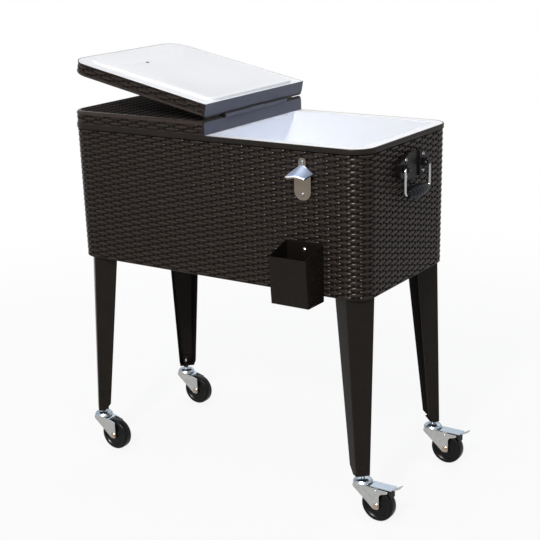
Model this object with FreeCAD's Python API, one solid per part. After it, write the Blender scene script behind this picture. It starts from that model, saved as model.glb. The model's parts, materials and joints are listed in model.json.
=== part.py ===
import FreeCAD, Part
import math
import os

from FreeCAD import Vector

# Rolling cooler cart: an insulated tub in a wicker-look shell, on four folded sheet legs with casters.
# Millimetres. X runs along the tub, the front faces -Y, +Z is up.
# The origin is on the floor under the middle of the tub.

# Shell, rim and tub
rim_length = 800.0
rim_width = 400.0
corner_radius = 50.0
shell_height = 324.0
side_draft = 3.5
shell_wall = 3.0
shell_foot_radius = 2.5
rim_band_height = 11.0
rim_band_proud = 1.5
rim_lip = 2.5
liner_flange = 2.5
liner_wall = 2.5
liner_foot_radius = 18.0
foam_side = 20.0
foam_floor = 22.0
part_clearance = 0.25

# Lids and the hinge between them
lid_height = 29.0
lid_seat_gap = 0.3
lid_inset = 1.5
lid_wall = 3.0
lid_lip = 1.2
lid_edge_radius = 6.0
lid_plate = 2.5
seam_gap = 3.0
plug_margin = 30.0
plug_seam_margin = 6.0
plug_width = 8.0
plug_depth = 7.0
plug_corner = 28.0
plug_edge_radius = 3.0
pan_depth = 9.0
pan_lean = 30.0
pan_corner = 14.0
vent_radius = 3.0
vent_from_seam = 318.0
vent_from_middle = -8.0
hinge_rise = 5.5
barrel_radius = 6.0
pin_radius = 2.5
running_clearance = 0.05
barrel_clearance = 1.0
knuckle_gap = 0.5
middle_knuckle = 54.0
side_knuckle = 98.0
knuckle_reach = 16.0
knuckle_root = 0.6
open_angle = 168.4
stop_clearance = 0.3

# Legs, their feet and fasteners
leg_sheet = 2.0
leg_bend = 4.0
leg_length = 404.2
leg_web_top = 62.0
leg_web_foot = 31.0
leg_flange_top = 54.0
leg_flange_foot = 29.0
leg_flare = 12.0
leg_inset_top = 17.0
leg_inset_foot = 2.0
leg_tab = 3.0
leg_clip_width = 14.0
leg_clip_height = 17.0
bolt_radius = 3.0
bolt_hole_clearance = 0.2
bolt_head_radius = 5.5
bolt_head_height = 4.0
bolt_spacing = 26.0
bolt_from_web = 24.0
bracket_sheet = 3.0
bracket_rise = 3.0
bracket_tab_height = 24.0
rivet_radius = 2.5
rivet_head_radius = 4.5
rivet_head_height = 2.0
rivet_sunk = 0.1
rivet_rise = 19.0

# Casters
stem_out_x = 26.0
stem_out_y = 22.0
stem_neck = 8.4
stem_radius = 4.0
stem_above_bracket = 14.0
nut_radius = 6.9
nut_height = 6.5
raceway_radius = 22.0
raceway_height = 9.4
crown_over_wheel = 5.0
crown_sheet = 2.5
crown_radius = 20.5
swivel_gap = 0.4
kingpin_head_radius = 8.0
kingpin_head_height = 2.5
trail = 40.0
wheel_radius = 38.5
wheel_width = 24.0
wheel_groove = 3.5
hub_radius = 11.0
hub_proud = 1.2
axle_radius = 4.0
axle_head_radius = 6.5
axle_head_height = 2.5
cheek_gap = 2.3
cheek_sheet = 2.0
cheek_eye = 8.0
bridge_before_axle = 13.0
bridge_fall = 3.6
crown_gap = 1.5
pedal_sheet = 1.6
pedal_side_gap = 0.35
pedal_pin_before_axle = 2.0
pedal_pin_drop = 8.6
pedal_pin_radius = 2.0
pedal_before_axle = 15.5
pedal_behind_axle = 37.0
pedal_tip_length = 18.0
pedal_tip_width = 15.0
pedal_tip_rise = 9.0
shoe_width = 18.0
shoe_length = 12.0
shoe_gap = 3.0
shoe_over_axle = 20.0
shoe_from_tip = 2.0

# Carrying handles on both ends
handle_drop = 64.0
handle_width = 132.0
handle_tall = 60.0
handle_thick = 12.0
handle_end_tall = 30.0
handle_corner = 9.0
finger_recess_width = 52.0
finger_recess_depth = 4.5
ear_inner = 38.0
ear_outer = 52.0
ear_radius = 7.5
pivot_standoff = 7.0
bail_wire = 3.25
bail_half_width = 56.5
bail_drop = 56.0
bail_top_bend = 4.4
bail_foot_bend = 9.0
bail_end_overlap = 1.5
grip_half_length = 44.0
grip_end_radius = 9.0
grip_middle_radius = 14.5
grip_groove = 0.8
grip_grooves = 7
screw_radius = 2.0
screw_head_radius = 4.5
screw_head_height = 2.4
screw_bite = 1.5
screw_hole_clearance = 0.15
handle_screw_y = 40.0
handle_screw_z = 18.0

# Bottle opener and cap catcher on the front
opener_from_end = 149.0
opener_drop = 26.0
opener_length = 91.0
opener_sheet = 3.0
opener_neck = 18.0
opener_neck_length = 17.0
opener_width = 41.0
opener_shoulder_drop = 31.0
opener_foot_radius = 19.5
hood_width = 52.0
hood_side_drop = 32.0
hood_crest_drop = 15.0
hood_reach = 30.0
hood_lip_width = 42.0
hood_lip_drop = 37.5
hood_lip_crest_drop = 34.0
hood_sheet = 2.5
hood_lip_sheet = 4.0
opener_screw_rise = 13.0
catcher_width = 92.0
catcher_depth = 72.0
catcher_below_shell = 11.0
catcher_front_height = 107.0
catcher_back_height = 128.0
catcher_front_lean = 7.5
catcher_sheet = 1.5
catcher_bend = 3.0
catcher_screw_drop = 18.0
catcher_screw_pitch = 58.0

# Drain in the tub's floor
drain_from_end = 100.0
drain_bore = 6.5
drain_tube = 9.0
drain_flange_radius = 16.0
drain_sump_radius = 24.0
drain_drop = 26.0
drain_nut_radius = 15.0
drain_nut_height = 7.0
drain_cap_radius = 12.5
drain_cap_height = 14.0
drain_cap_end = 2.5

# Levels and places that follow from the sizes above
crown_top = 2 * wheel_radius + crown_over_wheel
raceway_top = crown_top + raceway_height
leg_foot_height = raceway_top + stem_neck
shell_bottom = leg_foot_height + leg_length
rim_top = shell_bottom + shell_height
liner_inset = shell_wall + foam_side
tub_floor = shell_bottom + shell_wall + foam_floor + liner_wall
lid_bottom = rim_top + lid_seat_gap
lid_top = lid_bottom + lid_height
hinge_z = lid_top + hinge_rise
corner_x = rim_length / 2 - corner_radius
corner_y = rim_width / 2 - corner_radius
cheek_inside = wheel_width / 2 + cheek_gap
cheek_outside = cheek_inside + cheek_sheet
bridge_end = trail - bridge_before_axle
pedal_front = trail - pedal_before_axle
pedal_rear = trail + pedal_behind_axle
pedal_tip = pedal_rear + pedal_tip_length
handle_height = rim_top - handle_drop
opener_x = rim_length / 2 - opener_from_end
opener_top = rim_top - opener_drop
opener_bottom = opener_top - opener_length
catcher_bottom = shell_bottom - catcher_below_shell
drain_x = drain_from_end - rim_length / 2
bracket_z = leg_foot_height + bracket_rise
up = Vector(0, 0, 1)


def side_inset(z):
    # how far the drafted wall stands inside the rim band's outline at a height
    return rim_band_proud + side_draft * (rim_top - z) / shell_height


def end_face(z):
    return rim_length / 2 - side_inset(z)


def front_face(z):
    return -(rim_width / 2 - side_inset(z))


def rounded_outline(corners):
    # closed outline through (point, radius) corners, straight between tangent arcs
    starts, ends, bends = [], [], []
    count = len(corners)
    for index, (point, radius) in enumerate(corners):
        if radius == 0:
            starts.append(point)
            ends.append(point)
            bends.append(point)
            continue
        before = (corners[index - 1][0] - point).normalize()
        after = (corners[(index + 1) % count][0] - point).normalize()
        half = before.getAngle(after) / 2
        reach = radius / math.tan(half)
        starts.append(point + before * reach)
        ends.append(point + after * reach)
        middle = (before + after).normalize()
        bends.append(point + middle * (radius / math.sin(half) - radius))
    edges = []
    for index, (point, radius) in enumerate(corners):
        if radius > 0:
            edges.append(Part.Arc(starts[index], bends[index], ends[index]).toShape())
        following = starts[(index + 1) % count]
        if (following - ends[index]).Length > 1e-6:
            edges.append(Part.makeLine(ends[index], following))
    return Part.Wire(edges)


def rounded_rectangle(low_x, high_x, low_y, high_y, radius, z):
    return rounded_outline([
        (Vector(high_x, high_y, z), radius),
        (Vector(low_x, high_y, z), radius),
        (Vector(low_x, low_y, z), radius),
        (Vector(high_x, low_y, z), radius),
    ])


def prism(wire, direction):
    return Part.Face(wire).extrude(direction)


def rim_prism(inset, z_low, z_high):
    # upright block with the rim band's outline, drawn in by an inset
    half_x = rim_length / 2 - inset
    half_y = rim_width / 2 - inset
    wire = rounded_rectangle(-half_x, half_x, -half_y, half_y, corner_radius - inset, z_low)
    return prism(wire, up * (z_high - z_low))


def drafted_body(inset, z_low, z_high):
    # block with the shell's drafted sides, drawn in by an inset
    wires = []
    for z in (z_low, z_high):
        total = side_inset(z) + inset
        half_x = rim_length / 2 - total
        half_y = rim_width / 2 - total
        wires.append(rounded_rectangle(-half_x, half_x, -half_y, half_y, corner_radius - total, z))
    return Part.makeLoft(wires, True, True)


def is_along_x(edge):
    box = edge.BoundBox
    return box.XLength > 1e-4 and max(box.YLength, box.ZLength) < 1e-4


def edges_at(shape, z):
    # the edges that lie level at a height
    return [e for e in shape.Edges if max(abs(e.BoundBox.ZMin - z), abs(e.BoundBox.ZMax - z)) < 1e-4]


def rod(radius, start, end):
    return Part.makeCylinder(radius, (end - start).Length, start, end - start)


def revolved(profile, base, axis):
    # turned solid from a closed list of points in a plane that holds the axis
    wire = Part.makePolygon(profile + profile[:1])
    return Part.Face(wire).revolve(base, axis, 360)


def hexagon(radius, base, height):
    points = []
    for step in range(6):
        angle = math.radians(60 * step)
        points.append(base + Vector(radius * math.cos(angle), radius * math.sin(angle), 0))
    return prism(Part.makePolygon(points + points[:1]), up * height)


def mirrored(shape, flip_x, flip_y):
    if flip_x:
        shape = shape.mirror(Vector(0, 0, 0), Vector(1, 0, 0))
    if flip_y:
        shape = shape.mirror(Vector(0, 0, 0), Vector(0, 1, 0))
    return shape


def export(node, shape):
    shape.removeSplitter().exportStep("parts/" + node + ".step")


shell_body = drafted_body(0, shell_bottom, rim_top)


def seated_on_shell(shape):
    # take away what would reach into the shell, so the piece seats on its face
    return shape.cut(shell_body)


# Screws: a shank through the plate into the wall behind it, and a domed head
def screw(seat, outward, plate):
    depth = plate + shell_wall - screw_bite
    half = [
        (0, -depth),
        (screw_radius, -depth),
        (screw_radius, 0),
        (screw_head_radius, 0),
        (screw_head_radius, screw_head_height * 0.35),
        (screw_head_radius * 0.6, screw_head_height),
        (0, screw_head_height),
    ]
    profile = [seat + up * radius + outward * reach for radius, reach in half]
    return revolved(profile, seat, outward)


def screw_hole(seat, outward, depth):
    reach = outward * depth
    return rod(screw_radius + screw_hole_clearance, seat - reach, seat + reach)


opener_face = front_face(opener_top) - opener_sheet
opener_screws = [
    Vector(opener_x, opener_face, opener_top - opener_neck / 2),
    Vector(opener_x, opener_face, opener_bottom + opener_screw_rise),
]
catcher_top = catcher_bottom + catcher_back_height
catcher_back = front_face(catcher_top)
catcher_screw_top = catcher_top - catcher_screw_drop
catcher_screws = [
    Vector(opener_x, catcher_back - catcher_sheet, catcher_screw_top - catcher_screw_pitch * row)
    for row in (0, 1)
]
handle_face = end_face(handle_height) + handle_thick
handle_screws = [
    Vector(handle_face, side * handle_screw_y, handle_height + level * handle_screw_z)
    for side in (-1, 1)
    for level in (-1, 1)
]
outward_x = Vector(1, 0, 0)
outward_y = Vector(0, -1, 0)


# Legs: folded channels, the web across the corner's diagonal and the mouth towards the middle
diagonal = Vector(1, 1, 0).normalize()
across = Vector(-1, 1, 0).normalize()
corner_centre = Vector(corner_x, corner_y, 0)
leg_corner_reach = corner_radius - rim_band_proud


def leg_at(z):
    # web distance from the corner's centre, web width and flange width at a height
    share = (shell_bottom - z) / (shell_bottom - leg_foot_height)
    distance = leg_corner_reach - leg_inset_top + share * (leg_inset_top - leg_inset_foot)
    web = leg_web_top + share * (leg_web_foot - leg_web_top)
    flange = leg_flange_top + share * (leg_flange_foot - leg_flange_top)
    return distance, web, flange


def leg_point(forward, sideways, z):
    return corner_centre + diagonal * forward + across * sideways + up * z


def channel_wire(z):
    distance, web, flange = leg_at(z)
    flare = math.radians(leg_flare)
    run_back = flange * math.cos(flare)
    run_out = flange * math.sin(flare)
    slope = leg_sheet * (1 - math.sin(flare)) / math.cos(flare)
    inner_half = web / 2 - leg_sheet * math.cos(flare) + slope * math.sin(flare)
    end_back = distance - run_back - leg_sheet * math.sin(flare)
    end_half = web / 2 + run_out - leg_sheet * math.cos(flare)
    inner_bend = leg_bend - leg_sheet
    return rounded_outline([
        (leg_point(distance - run_back, web / 2 + run_out, z), 0),
        (leg_point(distance, web / 2, z), leg_bend),
        (leg_point(distance, -web / 2, z), leg_bend),
        (leg_point(distance - run_back, -web / 2 - run_out, z), 0),
        (leg_point(end_back, -end_half, z), 0),
        (leg_point(distance - leg_sheet, -inner_half, z), inner_bend),
        (leg_point(distance - leg_sheet, inner_half, z), inner_bend),
        (leg_point(end_back, end_half, z), 0),
    ])


def leg_floor(z, thickness, depth_share, spare):
    # level plate that closes the channel, let into half of the sheet or kept clear of it
    distance, web, flange = leg_at(z)
    flare = math.radians(leg_flare)
    front = distance - spare
    back = distance - depth_share * flange
    front_half = web / 2 - spare
    back_half = front_half + (front - back) * math.tan(flare)
    points = [
        leg_point(front, front_half, z),
        leg_point(front, -front_half, z),
        leg_point(back, -back_half, z),
        leg_point(back, back_half, z),
    ]
    return prism(Part.makePolygon(points + points[:1]), up * thickness)


def leg_bolt_places():
    distance = leg_at(shell_bottom)[0] - bolt_from_web
    return [leg_point(distance, side * bolt_spacing / 2, shell_bottom) for side in (-1, 1)]


def make_leg():
    leg = Part.makeLoft([channel_wire(leg_foot_height), channel_wire(shell_bottom)], True, True)
    tab = leg_floor(shell_bottom - leg_tab, leg_tab, 0.9, leg_sheet / 2)
    leg = leg.fuse(tab)
    distance, web, flange = leg_at(leg_foot_height)
    free = distance - flange
    clip = [
        leg_point(free - leg_clip_width, -web * 2, leg_foot_height - 1),
        leg_point(free + leg_clip_width, -web * 2, leg_foot_height - 1),
        leg_point(free - leg_clip_width, -web * 2, leg_foot_height + 2 * leg_clip_height),
    ]
    leg = leg.cut(prism(Part.makePolygon(clip + clip[:1]), across * (web * 4)))
    for place in leg_bolt_places():
        leg = leg.cut(rod(bolt_radius + bolt_hole_clearance, place - up * leg_tab * 2, place + up))
    return leg.cut(rivet_bore())


def rivet_line():
    # start inside the bracket's tab, end outside the web
    z = leg_foot_height + rivet_rise
    distance = leg_at(z)[0]
    inside = distance - leg_sheet - part_clearance - bracket_sheet
    return leg_point(inside, 0, z), leg_point(distance, 0, z)


def rivet_bore():
    start, end = rivet_line()
    return rod(rivet_radius + running_clearance, start - diagonal * 10, end + diagonal * 10)


def make_foot_bracket():
    # level plate for the caster's stem, with a tab riveted inside the web
    spare = leg_sheet + part_clearance
    plate = leg_floor(bracket_z, bracket_sheet, 0.85, spare)
    bottom, top = bracket_z, bracket_z + bracket_tab_height
    section = [
        leg_point(leg_at(bottom)[0] - spare, 0, bottom),
        leg_point(leg_at(top)[0] - spare, 0, top),
        leg_point(leg_at(top)[0] - spare - bracket_sheet, 0, top),
        leg_point(leg_at(bottom)[0] - spare - bracket_sheet, 0, bottom),
    ]
    half = leg_at(bottom)[1] / 2 - leg_bend
    tab = prism(Part.makePolygon(section + section[:1]), across * half * 2)
    tab.translate(across * -half)
    stem = corner_centre + Vector(stem_out_x, stem_out_y, bracket_z)
    bore = rod(stem_radius + part_clearance, stem - up * 20, stem + up * 20)
    return plate.fuse(tab).cut(bore).cut(rivet_bore())


def make_rivet():
    # flush with the web outside; the web leans, so the inner head stands off by what it leans across a head
    lean = (leg_inset_top - leg_inset_foot) / (shell_bottom - leg_foot_height) * rivet_head_radius
    start, end = rivet_line()
    start -= diagonal * lean
    body = rod(rivet_radius, start, end - diagonal * rivet_sunk)
    return body.fuse(rod(rivet_head_radius, start - diagonal * rivet_head_height, start))


def make_leg_bolt(place):
    under = place - up * leg_tab
    shank = rod(bolt_radius, under, place + up * shell_wall)
    return shank.fuse(hexagon(bolt_head_radius, under - up * bolt_head_height, bolt_head_height))


# Shell, tub and insulation
def make_wicker_shell():
    outer = shell_body.makeFillet(shell_foot_radius, edges_at(shell_body, shell_bottom))
    band = rim_prism(0, rim_top - rim_band_height, rim_top)
    hollow = drafted_body(shell_wall, shell_bottom + shell_wall, rim_top)
    seat = rim_prism(rim_lip, rim_top - liner_flange, rim_top)
    shell = outer.fuse(band).cut(hollow).cut(seat)
    cuts = []
    for place in leg_bolt_places():
        bore = rod(bolt_radius + bolt_hole_clearance, place - up, place + up * shell_wall * 2)
        cuts += [mirrored(bore, fx, fy) for fx in (0, 1) for fy in (0, 1)]
    drain = Vector(drain_x, 0, shell_bottom)
    cuts.append(rod(drain_tube + part_clearance, drain - up, drain + up * shell_wall * 2))
    reach = handle_thick + shell_wall * 2
    for seat_point in handle_screws:
        hole = screw_hole(seat_point, outward_x, reach)
        cuts += [hole, mirrored(hole, 1, 0)]
    cuts += [screw_hole(p, outward_y, opener_sheet + shell_wall * 2) for p in opener_screws]
    cuts += [screw_hole(p, outward_y, catcher_sheet + shell_wall * 2) for p in catcher_screws]
    return shell.cut(cuts)


def make_inner_liner():
    floor_under = tub_floor - liner_wall
    outer = drafted_body(liner_inset, floor_under, rim_top - liner_flange)
    outer = outer.makeFillet(liner_foot_radius + liner_wall, edges_at(outer, floor_under))
    inner = drafted_body(liner_inset + liner_wall, tub_floor, rim_top + 1)
    inner = inner.makeFillet(liner_foot_radius, edges_at(inner, tub_floor))
    flange = rim_prism(rim_lip + part_clearance, rim_top - liner_flange, rim_top)
    drain = Vector(drain_x, 0, tub_floor)
    sump = rod(drain_sump_radius, drain - up * liner_wall * 2, drain - up * liner_wall / 2)
    seat = rod(drain_flange_radius + part_clearance, drain - up * liner_wall, drain + up)
    bore = rod(drain_tube + part_clearance, drain - up * liner_wall * 3, drain)
    return outer.fuse([flange, sump]).cut([inner, seat, bore])


def make_insulation():
    floor_top = tub_floor - liner_wall
    outer = drafted_body(shell_wall + part_clearance, shell_bottom + shell_wall, rim_top - liner_flange)
    cavity = drafted_body(liner_inset - part_clearance, floor_top, rim_top)
    drain = Vector(drain_x, 0, tub_floor)
    sump = rod(drain_sump_radius + part_clearance, drain - up * liner_wall * 2, drain)
    bore = rod(drain_tube + part_clearance, drain - up * foam_floor * 2, drain)
    return outer.cut([cavity, sump, bore])


def make_drain_spout():
    drain = Vector(drain_x, 0, tub_floor)
    outlet = Vector(drain_x, 0, shell_bottom - drain_drop)
    flange = rod(drain_flange_radius, drain - up * liner_wall, drain)
    tube = rod(drain_tube, outlet, drain)
    return flange.fuse(tube).cut(rod(drain_bore, outlet - up, drain + up))


def make_drain_nut():
    top = Vector(drain_x, 0, shell_bottom - drain_nut_height)
    return hexagon(drain_nut_radius, top, drain_nut_height).cut(
        rod(drain_tube + running_clearance, top - up, top + up * drain_nut_height * 2))


def make_drain_cap():
    outlet = Vector(drain_x, 0, shell_bottom - drain_drop)
    base = outlet - up * (drain_cap_end + stop_clearance)
    cap = rod(drain_cap_radius, base, base + up * drain_cap_height)
    pocket = rod(drain_tube + running_clearance, base + up * drain_cap_end, base + up * drain_cap_height * 2)
    grips = []
    for step in range(12):
        angle = math.radians(30 * step)
        side = base + Vector(math.cos(angle), math.sin(angle), 0) * (drain_cap_radius + 0.6)
        grips.append(rod(1.4, side - up, side + up * drain_cap_height * 2))
    return cap.cut([pocket] + grips)


# Lids, drawn closed with the seam at x = 0. Each half hangs on the other by knuckles and one pin.
def right_half(inset, z_low, z_high, seam_inset):
    block = rim_prism(inset, z_low, z_high)
    left = Part.makeBox(rim_length, rim_width, z_high - z_low + 2,
                        Vector(seam_inset - rim_length, -rim_width / 2, z_low - 1))
    return block.cut(left)


def plug_outline(drawn_in, radius, z):
    outer = rim_length / 2 - lid_inset - plug_margin - drawn_in
    side = rim_width / 2 - lid_inset - plug_margin - drawn_in
    seam = seam_gap / 2 + plug_seam_margin + drawn_in
    return rounded_rectangle(seam, outer, -side, side, radius, z)


def pan_outline(z, spare):
    # the sunken pan's leaning walls at a height, widened by a spare
    share = (z - lid_bottom + plug_depth) / (plug_depth + pan_depth)
    mouth_corner = plug_corner - plug_width
    radius = mouth_corner + share * (pan_corner - mouth_corner)
    return plug_outline(plug_width + share * pan_lean - spare, radius + spare, z)


def pan_block(spare):
    # outside of the pan's own walls and floor, with a spare gap for what lies around it
    wall = (lid_plate + spare) * math.hypot(1, pan_lean / (plug_depth + pan_depth))
    low = lid_bottom + lid_plate / 2
    high = lid_bottom + pan_depth + lid_plate + spare
    return Part.makeLoft([pan_outline(low, wall), pan_outline(high, wall)], True, True)


def make_lid_liner():
    plate = right_half(lid_inset + lid_lip + part_clearance, lid_bottom, lid_bottom + lid_plate,
                       seam_gap / 2 + lid_lip + part_clearance)
    foot = lid_bottom - plug_depth
    plug = prism(plug_outline(0, plug_corner, foot), up * (plug_depth + lid_plate / 2))
    plug = plug.makeFillet(plug_edge_radius, edges_at(plug, foot))
    hollow = Part.makeLoft([pan_outline(foot - 1, 0), pan_outline(lid_bottom + pan_depth, 0)], True, True)
    vent = Vector(seam_gap / 2 + vent_from_seam, vent_from_middle, lid_bottom)
    bore = rod(vent_radius, vent - up * 30, vent + up * 30)
    return plate.fuse([plug, pan_block(0)]).cut([hollow, bore])


def make_lid_foam():
    seam = seam_gap / 2 + lid_wall + part_clearance
    block = right_half(lid_inset + lid_wall + part_clearance, lid_bottom + lid_plate + part_clearance,
                       lid_top - lid_wall - part_clearance, seam)
    return block.cut(pan_block(part_clearance))


def make_lid_box():
    block = rim_prism(lid_inset, lid_bottom, lid_top)
    block = block.makeFillet(lid_edge_radius, edges_at(block, lid_top))
    left = Part.makeBox(rim_length, rim_width, lid_height + 2,
                        Vector(seam_gap / 2 - rim_length, -rim_width / 2, lid_bottom - 1))
    block = block.cut(left)
    hollow = right_half(lid_inset + lid_wall, lid_bottom - 1, lid_top - lid_wall, seam_gap / 2 + lid_wall)
    seat = right_half(lid_inset + lid_lip, lid_bottom - 1, lid_bottom + lid_plate, seam_gap / 2 + lid_lip)
    return block.cut([hollow, seat])


def hinge_point(x, z, y):
    return Vector(x, y, hinge_z + z)


def knuckle(profile, y_low, y_high):
    barrel = rod(barrel_radius, hinge_point(0, 0, y_low), hinge_point(0, 0, y_high))
    points = [hinge_point(x, z, y_low) for x, z in profile]
    arm = prism(Part.makePolygon(points + points[:1]), Vector(0, y_high - y_low, 0))
    bore = rod(pin_radius + running_clearance, hinge_point(0, 0, y_low - 1), hinge_point(0, 0, y_high + 1))
    return barrel.fuse(arm).cut(bore)


def barrel_room(y_low, y_high):
    spare = barrel_radius + barrel_clearance
    return rod(spare, hinge_point(0, 0, y_low - knuckle_gap), hinge_point(0, 0, y_high + knuckle_gap))


middle_end = middle_knuckle / 2
side_start = middle_end + knuckle_gap
side_end = side_start + side_knuckle
root = -hinge_rise - knuckle_root
side_ranges = [(side_start, side_end), (-side_end, -side_start)]


def make_left_lid():
    box = mirrored(make_lid_box(), 1, 0).cut([barrel_room(low, high) for low, high in side_ranges])
    ramp = [
        (-knuckle_reach, root),
        (0, root),
        (0, 0),
        (-barrel_radius, 0),
        (-knuckle_reach, root + knuckle_root),
    ]
    return box.fuse(knuckle(ramp, -middle_end, middle_end))


def make_right_lid():
    # each knuckle has a heel whose top rests on the other lid when this one is folded open
    tilt = math.radians(180 - open_angle)
    rest = hinge_rise - stop_clearance
    heel_near = rest / math.cos(tilt)
    heel_far = (rest + knuckle_reach * math.sin(tilt)) / math.cos(tilt)
    heel = [(0, root), (knuckle_reach, root), (knuckle_reach, heel_far), (0, heel_near)]
    box = make_lid_box().cut(barrel_room(-middle_end, middle_end))
    return box.fuse([knuckle(heel, low, high) for low, high in side_ranges])


def folded_open(shape):
    return shape.rotate(Vector(0, 0, hinge_z), Vector(0, -1, 0), open_angle)


def make_hinge_pin():
    return rod(pin_radius, hinge_point(0, 0, -side_end), hinge_point(0, 0, side_end))


# Carrying handle on the right end
def handle_outline(x):
    # blunt lens: long arcs above and below, from one short upright end to the other
    half_y, half_z, end_z = handle_width / 2, handle_tall / 2, handle_end_tall / 2
    arcs = []
    for side in (-1, 1):
        ends = [Vector(x, along * half_y, handle_height + side * end_z) for along in (-1, 1)]
        arcs.append(Part.Arc(ends[0], Vector(x, 0, handle_height + side * half_z), ends[1]).toShape())
    uprights = [Part.makeLine(arcs[0].Vertexes[i].Point, arcs[1].Vertexes[i].Point) for i in (0, 1)]
    return Part.Wire(Part.sortEdges(arcs + uprights)[0])


pivot = Vector(handle_face + pivot_standoff, 0, handle_height)


def make_handle_plate():
    back = end_face(handle_height) - shell_wall
    plate = prism(handle_outline(back), outward_x * (handle_face - back))
    plate = plate.makeFillet(handle_corner, [e for e in plate.Edges if is_along_x(e)])
    plate = seated_on_shell(plate)
    plate = plate.cut(Part.makeBox(
        finger_recess_depth * 2, finger_recess_width, handle_tall * 2,
        Vector(handle_face - finger_recess_depth, -finger_recess_width / 2, handle_height - handle_tall)))
    for side in (-1, 1):
        inner, outer = side * ear_inner, side * ear_outer
        low, high = min(inner, outer), max(inner, outer)
        eye = rod(ear_radius, pivot + Vector(0, low, 0), pivot + Vector(0, high, 0))
        web = Part.makeBox(pivot_standoff + 1, high - low, ear_radius * 2,
                           Vector(handle_face - 1, low, handle_height - ear_radius))
        bore = rod(bail_wire + running_clearance, pivot + Vector(0, low - 1, 0),
                   pivot + Vector(0, high + 1, 0))
        plate = plate.fuse([eye, web]).cut(bore)
    holes = [screw_hole(p, outward_x, handle_thick * 2) for p in handle_screws]
    return plate.cut(holes)


def make_handle_bail():
    # one bent wire: in through an ear, down, across under the grip and back up
    foot = handle_height - bail_drop
    start = Vector(pivot.x, ear_inner - bail_end_overlap, handle_height)
    bends = [
        (Vector(pivot.x, bail_half_width, handle_height), bail_top_bend),
        (Vector(pivot.x, bail_half_width, foot), bail_foot_bend),
        (Vector(pivot.x, -bail_half_width, foot), bail_foot_bend),
        (Vector(pivot.x, -bail_half_width, handle_height), bail_top_bend),
    ]
    end = Vector(pivot.x, -start.y, handle_height)
    outline = rounded_outline([(start, 0)] + bends + [(end, 0)])
    closing = [e for e in outline.Edges if abs(e.CenterOfMass.y) < 1e-6 and e.CenterOfMass.z > foot + 1]
    path = Part.Wire(Part.sortEdges([e for e in outline.Edges if not e.isSame(closing[0])])[0])
    section = Part.Wire(Part.makeCircle(bail_wire, start, Vector(0, 1, 0)))
    return path.makePipeShell([section], True, False)


def make_handle_grip():
    # barrel-shaped sleeve on the wire, with shallow rings turned into it
    centre = Vector(pivot.x, 0, handle_height - bail_drop)
    bore = bail_wire + running_clearance
    profile = [centre + Vector(bore, -grip_half_length, 0)]
    steps = grip_grooves * 2
    for step in range(steps + 1):
        share = 2 * step / steps - 1
        radius = grip_middle_radius - (grip_middle_radius - grip_end_radius) * share * share
        if step % 2:
            radius -= grip_groove
        profile.append(centre + Vector(radius, share * grip_half_length, 0))
    profile.append(centre + Vector(bore, grip_half_length, 0))
    return revolved(profile, centre, Vector(0, 1, 0))


# Bottle opener: neck and plate in one sheet, with a scooped hood standing out of it
def opener_corner(x, z, radius):
    return (Vector(opener_x + x, opener_face, z), radius)


def make_bottle_opener():
    neck, half = opener_neck / 2, opener_width / 2
    outline = rounded_outline([
        opener_corner(-neck, opener_top, neck * 0.98),
        opener_corner(neck, opener_top, neck * 0.98),
        opener_corner(neck, opener_top - opener_neck_length, 3),
        opener_corner(half, opener_top - opener_shoulder_drop, 4),
        opener_corner(half, opener_bottom, opener_foot_radius),
        opener_corner(-half, opener_bottom, opener_foot_radius),
        opener_corner(-half, opener_top - opener_shoulder_drop, 4),
        opener_corner(-neck, opener_top - opener_neck_length, 3),
    ])
    plate = seated_on_shell(prism(outline, Vector(0, opener_sheet + shell_wall, 0)))
    root = opener_face + opener_sheet / 3
    lip = opener_face - hood_reach
    hood = Part.makeLoft([
        hood_band(root, hood_width / 2, hood_side_drop, hood_crest_drop, hood_sheet),
        hood_band(lip, hood_lip_width / 2, hood_lip_drop, hood_lip_crest_drop, hood_lip_sheet),
    ], True, True)
    holes = [screw_hole(p, outward_y, opener_sheet * 2) for p in opener_screws]
    return plate.fuse(hood).cut(holes)


def hood_band(y, half, side_drop, crest_drop, sheet):
    # bell-shaped strip of sheet: a smooth crest that flares out to both sides
    side_z = opener_top - side_drop
    rise = side_drop - crest_drop
    bell = [(-1.0, 0.0), (-0.55, 0.36), (0.0, 1.0), (0.55, 0.36), (1.0, 0.0)]
    points = [Vector(opener_x + x * half, y, side_z + z * rise) for x, z in bell]
    upper = Part.BSplineCurve()
    upper.interpolate(points)
    lower = Part.BSplineCurve()
    lower.interpolate([point - up * sheet for point in reversed(points)])
    return Part.Wire([
        upper.toShape(),
        Part.makeLine(upper.EndPoint, lower.StartPoint),
        lower.toShape(),
        Part.makeLine(lower.EndPoint, upper.StartPoint),
    ])


# Cap catcher: folded sheet box, open on top, its side walls falling towards the front
def catcher_section(x, sheet, spare):
    # the front leans in towards its foot; a sheet's thickness is taken off for the inside
    back = catcher_back - sheet
    bottom = catcher_bottom + sheet
    slope = (catcher_back_height - catcher_front_height) / catcher_depth
    lean = catcher_front_lean / catcher_front_height
    front_top = catcher_bottom + catcher_front_height + slope * sheet + spare
    back_top = catcher_top - slope * sheet + spare
    bend = catcher_bend - sheet

    def front(z):
        fall = catcher_bottom + catcher_front_height - z
        return catcher_back - catcher_depth + lean * fall + sheet * math.hypot(1, lean)

    return rounded_outline([
        (Vector(x, back, back_top), 0),
        (Vector(x, back, bottom), bend),
        (Vector(x, front(bottom), bottom), bend),
        (Vector(x, front(front_top), front_top), 0),
    ])


def make_cap_catcher():
    left = opener_x - catcher_width / 2
    box = prism(catcher_section(left, 0, 0), outward_x * catcher_width)
    inside_width = catcher_width - 2 * catcher_sheet
    inside = prism(catcher_section(left + catcher_sheet, catcher_sheet, 40), outward_x * inside_width)
    holes = [screw_hole(p, outward_y, catcher_sheet * 2) for p in catcher_screws]
    return box.cut([inside] + holes)


# Casters, drawn with the stem on the Z axis and the wheel trailing towards +X
wheel_centre = Vector(trail, 0, wheel_radius)


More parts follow.
